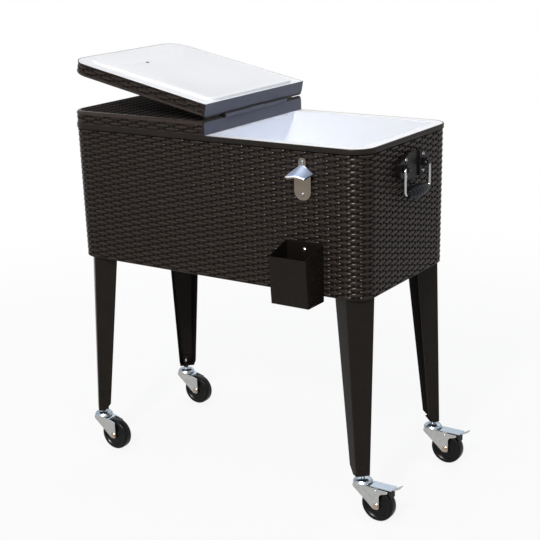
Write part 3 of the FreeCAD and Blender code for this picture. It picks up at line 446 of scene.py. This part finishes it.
midRadius = wallRadius((shellLow[2] + shellHigh[2]) / 2)
pathLength = pathEnds(midRadius)[-1]
weaveLow = shellLow[2] + shell["plainFoot"]
weaveHigh = shellHigh[2] - shell["bandHeight"] - shell["grooveHeight"]
weaveRows = round((weaveHigh - weaveLow) / wicker["rowPitch"])
shellWeave = dict(wicker, stakePitch=pathLength / shell["stakes"],
                  rowPitch=(weaveHigh - weaveLow) / weaveRows)
wallPieces = {"frontRight": (0, 13), "right": (13, 30), "backRight": (30, 43), "backLeft": (43, 56),
              "left": (56, 73), "frontLeft": (73, 86)}      # first and last stake of each


def wallPiece(name, first, last):
    # point = core + normal * (drafted radius + weave height), over distance and height
    distance = stepped(first, last, stakeSteps, shellWeave["stakePitch"])
    height = stepped(0, weaveRows, rowSteps, shellWeave["rowPitch"])
    u, v = np.meshgrid(distance, height)
    core, normal = aroundPath(u, midRadius)
    lift = weaveHeight(u, np.minimum(v, weaveHigh - weaveLow - tiny), shellWeave)
    z = weaveLow + v
    plan = core + normal * (wallRadius(z) + lift)[..., None]
    points = np.concatenate([plan, z[..., None]], axis=-1)
    piece = meshFromGrid(name, points, "root", finish["wicker"], paintedShading=paintedWeaveShading(lift, v, shellWeave))
    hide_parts("wicker_shell")


for label, (first, last) in wallPieces.items():
    wallPiece("wickerWall_" + label, first, last)


def sweptBand(name, profile, material):
    # profile of (radius, height) pairs carried round the rounded rectangle
    even = np.arange(shell["pathSteps"]) / shell["pathSteps"] * pathLength
    distance = np.unique(np.round(np.concatenate([even, pathEnds(midRadius)[1:-1]]), 4))
    radius, height = np.array(profile, dtype=float).T
    core, normal = aroundPath(distance, midRadius)
    plan = core[None] + normal[None] * radius[:, None, None]
    z = np.broadcast_to(height[:, None, None], plan.shape[:2] + (1,))
    piece = meshFromGrid(name, np.concatenate([plan, z], axis=-1), "root", material, closedU=True)
    piece.data.set_sharp_from_angle(angle=math.radians(shell["sharpTurn"]))
    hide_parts("wicker_shell")


def shellGroove(s):
    # a wall behind the weave's upper edge and a ledge under the rim band; it carries no shading values, so it
    # takes the near-black painted shade all over
    wall = wallRadius(weaveHigh) - s["grooveDepth"]
    ledge = shellHigh[2] - s["bandHeight"] + s["grooveLap"]
    profile = [(wall, weaveHigh - s["grooveSink"]), (wall, ledge), (s["cornerRadius"] - s["rimTuck"], ledge)]
    sweptBand("shellGroove", profile, finish["wicker"])


def shellRim(s):
    # up the outside of the band, over a thin cover strip, and down to the ledge inside the mouth
    rim, top = s["cornerRadius"], shellHigh[2]
    low, cover, mouth = top - s["bandHeight"], top + s["coverRise"], rim - s["lip"]
    band = [(rim - s["rimTuck"], low), (rim - s["lowRound"], low), (rim - s["lowCut"], low + s["lowCut"]),
            (rim, low + s["lowRound"]), (rim, top - s["topRound"]), (rim - s["topCut"], top - s["topCut"]),
            (rim - s["topRound"], top)]
    strip = [(mouth, cover), (rim - s["cover"], cover),
             (rim - s["cover"] - s["coverSlant"], top - s["coverFoot"]), (mouth, top - s["coverFoot"])]
    inside = [(mouth, top - s["lipDrop"]), (rim - s["ledge"], top - s["lipDrop"])]
    sweptBand("shellRim", band + strip + inside, finish["rimPlastic"])


def shellFoot(s):
    # the round turn from the underside to the wall, then up behind the weave's lower edge
    foot, bend, low = wallRadius(shellLow[2]), s["footRadius"], shellLow[2]
    lap = weaveLow + s["footLap"]
    turn = [(foot - bend, low), (foot - s["footFar"] * bend, low + s["footEase"]),
            (foot - s["footNear"] * bend, low + s["footNear"] * bend),
            (foot - s["footEase"], low + s["footFar"] * bend), (foot, low + bend)]
    behind = [(foot - s["footLean"], lap), (foot - s["footTuck"], lap)]
    sweptBand("shellFoot", turn + behind, finish["rimPlastic"])


def basePlate(s):
    # flat underside inside the foot's turn: rows across Y, each from one rounded side to the other
    radius = wallRadius(shellLow[2]) - s["footRadius"]
    halfX, halfY = coreX + radius, coreY + radius
    y = halfY * np.linspace(-1, 1, s["baseRows"])
    x = sideReach(pastCorner(y, halfY, radius), halfX, radius)[:, None] * np.linspace(-1, 1, s["baseColumns"])
    points = np.stack([x, np.broadcast_to(y[:, None], x.shape), np.full_like(x, shellLow[2])], axis=-1)
    piece = meshFromGrid("shellBase", points, "root", finish["rimPlastic"], flip=True)
    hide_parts("wicker_shell")


shellGroove(shell)
shellRim(shell)
shellFoot(shell)
basePlate(shell)
print("shell done")


# Lids: the CAD shells drawn in a little, with a woven skin on their sides and tops

foldJoint = next(joint for joint in frame["joints"] if joint["name"] == "lid_fold")
hingeZ = foldJoint["pos_m"][2] / mm
foldAngle = math.radians(foldJoint["range_deg"][1])
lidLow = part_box("left_lid_shell")[0][2] / mm
lid = dict(height=29.0, inset=1.5, edgeRadius=6.0, proud=0.05, drawnIn=2.9,
           sideSeam=7.0, topSeam=20.0, ramp=0.6, border=9.0, borderLap=0.8,
           weaveLow=0.0, weaveHigh=21.2, rowStart=3.7, rows=4, holeFloor=-2.6, linerRise=3.2, linerIn=1.1,
           seamFade=4.0, lowFade=1.0, levelFade=2.0,
           bandOut=0.6, bandSteps=7, grooveIn=1.6, grooveUp=(0.1, 0.5, 0.9),
           columnPaintedShade=0.12, columnFrom=0.2, columnTo=0.6)
lidTop = lidLow + lid["height"]
lidCorner = shell["cornerRadius"] - lid["inset"]
lidWeave = dict(wicker, floor=lid["holeFloor"])


def placedOnLid(points, lidName):
    # left lid as drawn; right lid mirrored and folded open about the hinge
    if lidName == "left_lid":
        return points
    x, z = -points[..., 0], points[..., 2] - hingeZ
    c, s = math.cos(foldAngle), math.sin(foldAngle)
    return np.stack([x * c - z * s, points[..., 1], x * s + z * c + hingeZ], axis=-1)


def drawnFromLid(points, lidName):
    # the way back: a point on either lid as it lies on the left lid
    if lidName == "left_lid":
        return points
    x, z = points[..., 0], points[..., 2] - hingeZ
    c, s = math.cos(foldAngle), math.sin(foldAngle)
    return np.stack([-(x * c + z * s), points[..., 1], -x * s + z * c + hingeZ], axis=-1)


def meshPoints(mesh):
    points = np.empty(len(mesh.vertices) * 3, dtype=np.float32)
    mesh.vertices.foreach_get("co", points)
    return points.reshape(-1, 3).astype(float) / mm


def setMeshPoints(mesh, points):
    mesh.vertices.foreach_set("co", (points * mm).astype(np.float32).ravel())


def lidCore(lidName):
    # the lid shell with its sides and top drawn in under the weave; the seam and the hinge keep their place
    mesh = nodes[lidName + "_shell"].data.copy()
    setMeshPoints(mesh, drawnFromLid(meshPoints(mesh), lidName))
    work = bmesh.new()
    work.from_mesh(mesh)
    bmesh.ops.remove_doubles(work, verts=work.verts, dist=weld)
    for cut in (lid["sideSeam"], lid["sideSeam"] + lid["ramp"], lid["topSeam"], lid["topSeam"] + lid["ramp"]):
        every = work.verts[:] + work.edges[:] + work.faces[:]
        bmesh.ops.bisect_plane(work, geom=every, plane_co=(-cut * mm, 0, 0), plane_no=(1, 0, 0), dist=tiny)
    work.to_mesh(mesh)
    work.free()
    x, y, z = meshPoints(mesh).T
    pastX = np.minimum(x + coreX, 0)
    pastY = np.sign(y) * np.maximum(np.abs(y) - coreY, 0)
    reach = np.maximum(np.hypot(pastX, pastY), tiny)
    limit = np.where(x < -lid["sideSeam"] - lid["ramp"] / 2, lidCorner - lid["drawnIn"], np.inf)
    share = np.minimum(limit / reach, 1)
    x = np.where(pastX < 0, pastX * share - coreX, x)
    y = y + pastY * (share - 1)
    z = np.where(x < -lid["topSeam"] - lid["ramp"] / 2, np.minimum(z, lidTop - lid["drawnIn"]), z)
    setMeshPoints(mesh, placedOnLid(np.stack([x, y, z], axis=-1), lidName))
    return mesh


def lidSides(lidName):
    # path round three sides from seam to seam; up the side, the weave, then a smooth band over the top edge
    half = coreX - lid["sideSeam"] + math.pi / 2 * lidCorner + coreY
    stakes = math.ceil(half / wicker["stakePitch"])
    run = np.unique(np.clip(stepped(-stakes, stakes, stakeSteps, wicker["stakePitch"]), -half, half))
    leftEnd = 0.75 * pathEnds(lidCorner)[-1]
    core, normal = aroundPath(run + leftEnd, lidCorner)
    rowBase = lid["rowStart"] - wicker["rowPitch"]
    rowZ = rowBase + stepped(0, lid["rows"], rowSteps, wicker["rowPitch"])
    u, v = np.meshgrid(run, np.unique(np.clip(rowZ, lid["weaveLow"], lid["weaveHigh"])))
    lift = weaveHeight(u, v - rowBase, lidWeave)
    lift = np.maximum(lift, np.where(v < lid["linerRise"], -lid["linerIn"], -belowAll))
    lift = lift * easing(half - np.abs(u), 0, lid["seamFade"])
    lift = lift * easing(v, lid["weaveLow"], lid["weaveLow"] + lid["lowFade"])
    # the band starts with a groove of two rows in near-black painted shade
    angle = np.radians(np.linspace(0, 90, lid["bandSteps"]))
    bend, rise, deep = lid["edgeRadius"], lid["bandOut"], -lid["grooveIn"]
    bandZ = np.concatenate([lid["weaveHigh"] + np.array(lid["grooveUp"]),
                            lid["height"] - bend + (bend + rise) * np.sin(angle), [lid["height"] + rise]])
    bandOut = np.concatenate([[deep, deep, rise], -bend + (bend + rise) * np.cos(angle), [-lid["border"]]])
    bandPaintedShade = np.concatenate([np.zeros(2), np.ones(len(bandZ) - 2)])
    alongRun = np.ones((1, len(run)))
    out = np.concatenate([lift, bandOut[:, None] * alongRun])
    z = np.concatenate([v, bandZ[:, None] * alongRun]) + lidLow
    tone = np.concatenate([paintedWeaveShading(lift, v - rowBase, lidWeave), bandPaintedShade[:, None] * alongRun])
    plan = core[None] + normal[None] * (lidCorner + lid["proud"] + out)[..., None]
    points = placedOnLid(np.concatenate([plan, z[..., None]], axis=-1), lidName)
    piece = meshFromGrid(lidName + "_sideWeave", points, lidName, finish["wicker"], paintedShading=tone,
                         flip=lidName == "right_lid")


def lidPanel(lidName):
    # weave on the lid's top: strands along X, stakes along Y, level at the border and at the seam
    radius = lidCorner - lid["border"] + lid["borderLap"]
    halfX, halfY = coreX + radius, coreY + radius
    stakes = math.ceil(halfX / wicker["stakePitch"])
    rows = math.ceil(halfY / wicker["rowPitch"])
    along = np.unique(np.clip(stepped(-stakes, 0, stakeSteps, wicker["stakePitch"]), -halfX, -lid["topSeam"]))
    across = np.unique(np.clip(stepped(-rows, rows, rowSteps, wicker["rowPitch"]), -halfY, halfY))
    x, y = np.meshgrid(along, across)
    past = pastCorner(y, halfY, radius)
    x = np.maximum(x, -sideReach(past, halfX, radius))
    rowRun = y + rows * wicker["rowPitch"]
    corner = np.hypot(np.maximum(-x - (halfX - radius), 0), past)
    room = np.minimum(np.minimum(halfX + x, halfY - np.abs(y)), np.where(corner > 0, radius - corner, np.inf))
    level = easing(np.minimum(room, -lid["topSeam"] - x), 0, lid["levelFade"])
    lift = weaveHeight(x, rowRun, lidWeave) * level
    points = placedOnLid(np.stack([x, y, lidTop + lid["proud"] + lift], axis=-1), lidName)
    # the dips midway between the stakes line up to columns, darkened with painted shade
    column = easing(np.abs((x / wicker["stakePitch"]) % 1.0 - 0.5) * 2, lid["columnFrom"], lid["columnTo"])
    tone = paintedWeaveShading(lift, rowRun, lidWeave) * (lid["columnPaintedShade"] + (1 - lid["columnPaintedShade"]) * column)
    piece = meshFromGrid(lidName + "_topWeave", points, lidName, finish["topWicker"], paintedShading=tone,
                         flip=lidName == "right_lid")


seamBead = dict(start=128.0, end=196.5, near=-0.8, far=-9.5, tall=4.9, foot=-0.6, turnSteps=14, alongSteps=24,
                bluntness=24)


def seamBeads(lidName, bead):
    # half-round bead on the lid's top along the seam, past the hinge knuckles, with rounded ends
    turn = np.linspace(0, math.pi, bead["turnSteps"])
    middle, halfWide = (bead["near"] + bead["far"]) / 2, (bead["near"] - bead["far"]) / 2
    along = np.linspace(bead["start"], bead["end"], bead["alongSteps"])
    fromMiddle = np.abs(np.linspace(-1, 1, bead["alongSteps"]))
    full = np.sqrt(1 - fromMiddle ** bead["bluntness"])
    x = np.broadcast_to(middle + halfWide * np.cos(turn), (len(along), len(turn)))
    z = lidTop + bead["foot"] + (bead["tall"] - bead["foot"]) * full[:, None] * np.sqrt(np.sin(turn))[None]
    for side in (-1, 1):
        y = np.broadcast_to(side * along[:, None], x.shape)
        points = placedOnLid(np.stack([x, y, z], axis=-1), lidName)
        flip = (side > 0) == (lidName == "left_lid")
        piece = meshFromGrid(f"{lidName}_seamBead{side + 1}", points, lidName, finish["lidEnd"], flip=flip)


ventPlace = dict(fromSeam=318.6, fromMiddle=-8.0, radius=4.6, panDepth=9.0, proud=0.35, sides=24,
                 rings=(0.02, 0.6, 1.0))


def circleTurn(sides):
    return np.linspace(0, 2 * math.pi, sides + 1)[:-1]


def ventPaintedShade(vent):
    # near-black disc in the vent of the right lid's pan, painted shade of the hole, rings about its middle;
    # it carries no shading values, so it takes the painted shade all over
    turn = circleTurn(vent["sides"])
    ring = vent["radius"] * np.array(vent["rings"])[:, None]
    x = -vent["fromSeam"] - ring * np.cos(turn)
    y = vent["fromMiddle"] + ring * np.sin(turn)
    z = np.full_like(x, lidLow + vent["panDepth"] - vent["proud"])
    points = placedOnLid(np.stack([x, y, z], axis=-1), "right_lid")
    piece = meshFromGrid("ventPaintedShade", points, "right_lid", finish["topWicker"], closedU=True)


ventPaintedShade(ventPlace)
lidCores = {}
for lidName in ("left_lid", "right_lid"):
    seamBeads(lidName, seamBead)
    lidCores[lidName + "_shell"] = lidCore(lidName)
    lidSides(lidName)
    lidPanel(lidName)
print("lids done")


# Pieces that keep their CAD form, with broken edges

soft = dict(flatTurn=0.2, sharpTurn=34.0, bevel=0.35, bevelSteps=2, mouthSteps=5, mouthProfile=0.5,
            topSlack=0.01, deepWall=20.0)
plainBevel = {"bottle_opener": 0.5, "cap_catcher": 0.8, "right_handle_plate": 1.2, "left_handle_plate": 1.2,
              "inner_liner": 0.8, "left_lid_liner": 0.8, "right_lid_liner": 0.8, "hinge_pin": 0.3,
              "left_lid_shell": 0.0, "right_lid_shell": 0.0}
roundMouth = {"inner_liner": 9.0}
hiddenFoam = {"insulation_foam", "left_lid_foam", "right_lid_foam"}
lidOf = {"left_lid_shell": "left_lid", "right_lid_shell": "right_lid"}
seamLimit = dict(facing=0.8, depth=6.0)


def seamFaces(piece, lidName):
    # the end face that meets the other lid is smooth and takes a paler, bluish copy of the lid's colour:
    # painted light from the white tub
    piece.data.materials.append(finish["lidSeam"])
    angle = 0.0 if lidName == "left_lid" else foldAngle
    side = 1.0 if lidName == "left_lid" else -1.0
    outward = (side * math.cos(angle), 0.0, side * math.sin(angle))
    for face in piece.data.polygons:
        if sum(a * b for a, b in zip(face.normal, outward)) > seamLimit["facing"]:
            middle = drawnFromLid(np.array(face.center) / mm, lidName)
            face.material_index = int(middle[0] > -seamLimit["depth"])


def roundedMouth(work, radius):
    # the top edge that the deepest wall meets is rounded
    high = max(vert.co.z for vert in work.verts) - soft["topSlack"] * mm
    deep = high - soft["deepWall"] * mm
    edges = [edge for edge in work.edges if all(vert.co.z > high for vert in edge.verts)
             and any(min(vert.co.z for vert in face.verts) < deep for face in edge.link_faces)]
    bmesh.ops.bevel(work, geom=edges, offset=radius * mm, segments=soft["mouthSteps"],
                    profile=soft["mouthProfile"], affect="EDGES")


def softCopy(nodeName):
    # the CAD node's own shape with flat faces joined, round ones shaded smooth and a small bevel on its edges
    mesh = lidCores.get(nodeName) or nodes[nodeName].data.copy()
    if "custom_normal" in mesh.attributes:
        mesh.attributes.remove(mesh.attributes["custom_normal"])
    work = bmesh.new()
    work.from_mesh(mesh)
    bmesh.ops.remove_doubles(work, verts=work.verts, dist=weld)
    flat = math.radians(soft["flatTurn"])
    bmesh.ops.dissolve_limit(work, angle_limit=flat, verts=work.verts, edges=work.edges)
    if nodeName in roundMouth:
        roundedMouth(work, roundMouth[nodeName])
    work.to_mesh(mesh)
    work.free()
    mesh.shade_smooth()
    mesh.set_sharp_from_angle(angle=math.radians(soft["sharpTurn"]))
    dress(mesh, nodeName)
    piece = bpy.data.objects.new(nodeName + "_piece", mesh)
    scene.collection.objects.link(piece)
    width = plainBevel.get(nodeName, soft["bevel"])
    if width:
        bevel = piece.modifiers.new("edges", "BEVEL")
        bevel.limit_method = "ANGLE"
        bevel.angle_limit = math.radians(soft["sharpTurn"])
        bevel.width = width * mm
        bevel.segments = soft["bevelSteps"]
        bevel.harden_normals = True
    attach(piece, nodes[nodeName]["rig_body"])
    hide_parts(nodeName)
    if nodeName in lidOf:
        seamFaces(piece, lidOf[nodeName])


for nodeName in sorted(set(nodes) - hiddenFoam - {"wicker_shell"}):
    softCopy(nodeName)
print("plain pieces done")


# Bottle opener: a fuller, polished hood over the plain one

openerHood = dict(half=27.5, lipHalf=24.0, crest=14.7, side=31.8, lipCrest=33.4, lipSide=36.4, root=30.0,
                  reach=30.4, ridge=0.17, sheet=1.4, acrossSteps=33, outSteps=13)
openerLip = dict(radius=1.5, sides=14, bluntness=8, fullness=1.0001, back=0.6, drop=1.4)


def hoodSkin(hood):
    # a blunt ridge on the plate carried straight out to a lower and flatter one at the lip
    low, high = (np.array(corner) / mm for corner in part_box("bottle_opener"))
    across, out = np.meshgrid(np.linspace(-1, 1, hood["acrossSteps"]), np.linspace(0, 1, hood["outSteps"]))
    bow = (np.hypot(across, hood["ridge"]) - hood["ridge"]) / (math.hypot(1, hood["ridge"]) - hood["ridge"])
    rootDrop = hood["crest"] + (hood["side"] - hood["crest"]) * bow
    lipDrop = hood["lipCrest"] + (hood["lipSide"] - hood["lipCrest"]) * bow
    x = (low[0] + high[0]) / 2 + across * (hood["half"] + (hood["lipHalf"] - hood["half"]) * out)
    y = low[1] + hood["root"] - hood["reach"] * out
    z = high[2] - rootDrop - (lipDrop - rootDrop) * out
    points = np.stack([x, y, z], axis=-1)
    piece = meshFromGrid("openerHood", points, "root", finish["hoodSteel"], flip=True)
    sheet = piece.modifiers.new("sheet", "SOLIDIFY")
    sheet.thickness = hood["sheet"] * mm
    sheet.offset = -1
    return across[-1], points[-1]


def rolledLip(bead, across, edge):
    # a round bead carried along the hood's last row, thinner at its ends
    turn = circleTurn(bead["sides"])
    full = bead["radius"] * np.sqrt(bead["fullness"] - across ** bead["bluntness"])[:, None]
    x = np.broadcast_to(edge[:, :1], (len(edge), len(turn)))
    y = edge[:, 1:2] + bead["back"] - full * np.cos(turn)
    z = edge[:, 2:] - bead["drop"] + full * np.sin(turn)
    points = np.stack([x, y, z], axis=-1)
    lip = meshFromGrid("openerLip", points, "root", finish["lipSteel"], closedU=True)


rolledLip(openerLip, *hoodSkin(openerHood))
print("opener hood done")


# Camera at the photograph's view, for a 540 x 540 picture

photoView = dict(picture=540, focal=1236.61, sensor=36.0, farClip=90, azimuth=34.04, elevation=16.43,
                 roll=-1.58, distance=2.96347, aim=0.460, sideShift=0.02272, lift=0.00978)  # focal in pixels


def facingBack(right, upward, back, place):
    # the matrix of a camera or lamp, which look along their own -Z
    matrix = np.eye(4)
    matrix[:3] = np.stack([right, upward, back, place], axis=1)
    return Matrix(matrix.tolist())


def photoCamera(view):
    azimuth, elevation, roll = (math.radians(view[key]) for key in ("azimuth", "elevation", "roll"))
    flat = math.cos(elevation)
    back = np.array([math.sin(azimuth) * flat, -math.cos(azimuth) * flat, math.sin(elevation)])
    right = np.array([math.cos(azimuth), math.sin(azimuth), 0.0])
    upward = np.cross(back, right)
    target = np.array([0, 0, view["aim"]]) + right * view["sideShift"] + upward * view["lift"]
    turnedRight = right * math.cos(roll) + upward * math.sin(roll)
    turnedUp = -right * math.sin(roll) + upward * math.cos(roll)
    data = bpy.data.cameras.new("photoCamera")
    data.sensor_width = view["sensor"]
    data.lens = view["focal"] / view["picture"] * view["sensor"]
    data.clip_end = view["farClip"]
    camera = bpy.data.objects.new("photoCamera", data)
    camera.matrix_world = facingBack(turnedRight, turnedUp, back, target + back * view["distance"])
    scene.collection.objects.link(camera)
    scene.camera = camera


photoCamera(photoView)


# Pale floor, soft lamps and a white surround

studio = dict(floor=30.0, floorTone=0.86, floorRoughness=0.9, nearGlow=0.88, clearFrom=0.9, clearTo=2.6,
              world=0.58, sky=(0.93, 0.97, 1.05), white=(1.0, 1.0, 1.0), sun=(1.0, 0.96, 0.9),
              tubGlow=(0.85, 0.93, 1.15))
studioLamps = {
    "key": dict(place=(0.80, -3.22, 2.94), target=(0.0, 0.0, 0.7), size=(0.36, 0.36), watts=54),
    "glint": dict(place=(0.80, -3.22, 2.94), target=(0.0, 0.0, 0.7), size=(0.8, 0.8), watts=880),
    "tubFill": dict(place=(-0.10, -0.13, 0.64), target=(-0.01, 0.17, 0.76), size=(0.25, 0.12), watts=0.5),
    "top": dict(place=(0.2, -1.3, 3.3), target=(0.0, 0.0, 0.6), size=(2.4, 2.4), watts=6),
    "back": dict(place=(-0.8, 2.8, 2.6), target=(0.0, 0.0, 0.5), size=(2.2, 2.2), watts=16),
}


def whiteRays(tree):
    # 1 for the rays that show the surround: straight from the camera, mirrored or passed through
    path = addNode(tree, "ShaderNodeLightPath").outputs
    shown = addMath(tree, "MAXIMUM", path["Is Camera Ray"], path["Is Glossy Ray"])
    return addMath(tree, "MAXIMUM", shown, path["Is Transmission Ray"])


def studioFloor(room):
    # near the object the floor is part lit, so that it takes a soft shadow; further out it shows plain white
    side = room["floor"]
    mesh = bpy.data.meshes.new("floor")
    corners = [(-side, -side, 0), (side, -side, 0), (side, side, 0), (-side, side, 0)]
    mesh.from_pydata(corners, [], [(0, 1, 2, 3)])
    material = bpy.data.materials.new("floor")
    material.use_nodes = True
    tree = material.node_tree
    shader = tree.nodes["Principled BSDF"]
    shader.inputs["Base Color"].default_value = (room["floorTone"],) * 3 + (1.0,)
    shader.inputs["Roughness"].default_value = room["floorRoughness"]
    shader.inputs["Specular IOR Level"].default_value = 0.0
    glow = addNode(tree, "ShaderNodeEmission")
    blend = addNode(tree, "ShaderNodeMixShader")
    spread = addNode(tree, "ShaderNodeVectorMath", operation="LENGTH")
    tree.links.new(addNode(tree, "ShaderNodeTexCoord").outputs["Object"], spread.inputs[0])
    far = addNode(tree, "ShaderNodeMapRange", interpolation_type="SMOOTHSTEP")
    tree.links.new(spread.outputs["Value"], far.inputs["Value"])
    for label, key in (("From Min", "clearFrom"), ("From Max", "clearTo"), ("To Min", "nearGlow")):
        far.inputs[label].default_value = room[key]
    tree.links.new(addMath(tree, "MULTIPLY", whiteRays(tree), far.outputs["Result"]), blend.inputs["Fac"])
    tree.links.new(shader.outputs[0], blend.inputs[1])
    tree.links.new(glow.outputs[0], blend.inputs[2])
    tree.links.new(blend.outputs[0], tree.nodes["Material Output"].inputs["Surface"])
    mesh.materials.append(material)
    floor = bpy.data.objects.new("floor", mesh)
    scene.collection.objects.link(floor)


def studioWorld(room):
    # the surround shows as white at strength 1, and lights the object with a weaker, bluer sky
    world = bpy.data.worlds.new("surround")
    world.use_nodes = True
    tree = world.node_tree
    background = tree.nodes["Background"]
    shown = whiteRays(tree)
    tree.links.new(addMix(tree, shown, room["sky"], room["white"]), background.inputs["Color"])
    strength = addMath(tree, "ADD", addMath(tree, "MULTIPLY", shown, 1 - room["world"]), room["world"])
    tree.links.new(strength, background.inputs["Strength"])
    scene.world = world


def studioLamp(label, place, target, size, watts):
    data = bpy.data.lights.new(label, "AREA")
    data.shape = "RECTANGLE"
    data.size, data.size_y = size
    data.energy = watts
    data.color = studio["tubGlow" if label == "tubFill" else "sun"]
    lamp = bpy.data.objects.new(label, data)
    aim = np.array(target) - np.array(place)
    aim = aim / np.linalg.norm(aim)
    side = np.cross(aim, [0, 0, 1])
    side = side / np.linalg.norm(side)
    lamp.matrix_world = facingBack(side, np.cross(side, aim), -aim, place)
    lamp.visible_diffuse = label != "glint"     # glint shows only as a highlight on the strands and the metal
    scene.collection.objects.link(lamp)
    return lamp


def lightTubAlone(lamp):
    # a fill for the tub, whose white walls pass light on more often than a render follows it
    lit = bpy.data.collections.new("tubLit")
    lit.objects.link(bpy.data.objects["inner_liner_piece"])
    lamp.light_linking.receiver_collection = lit
    lamp.visible_camera = False
    lamp.visible_glossy = False


studioFloor(studio)
studioWorld(studio)
lamps = {label: studioLamp(label, **lamp) for label, lamp in studioLamps.items()}
lightTubAlone(lamps["tubFill"])
scene.view_settings.view_transform = "Standard"
print("camera, floor and light done")
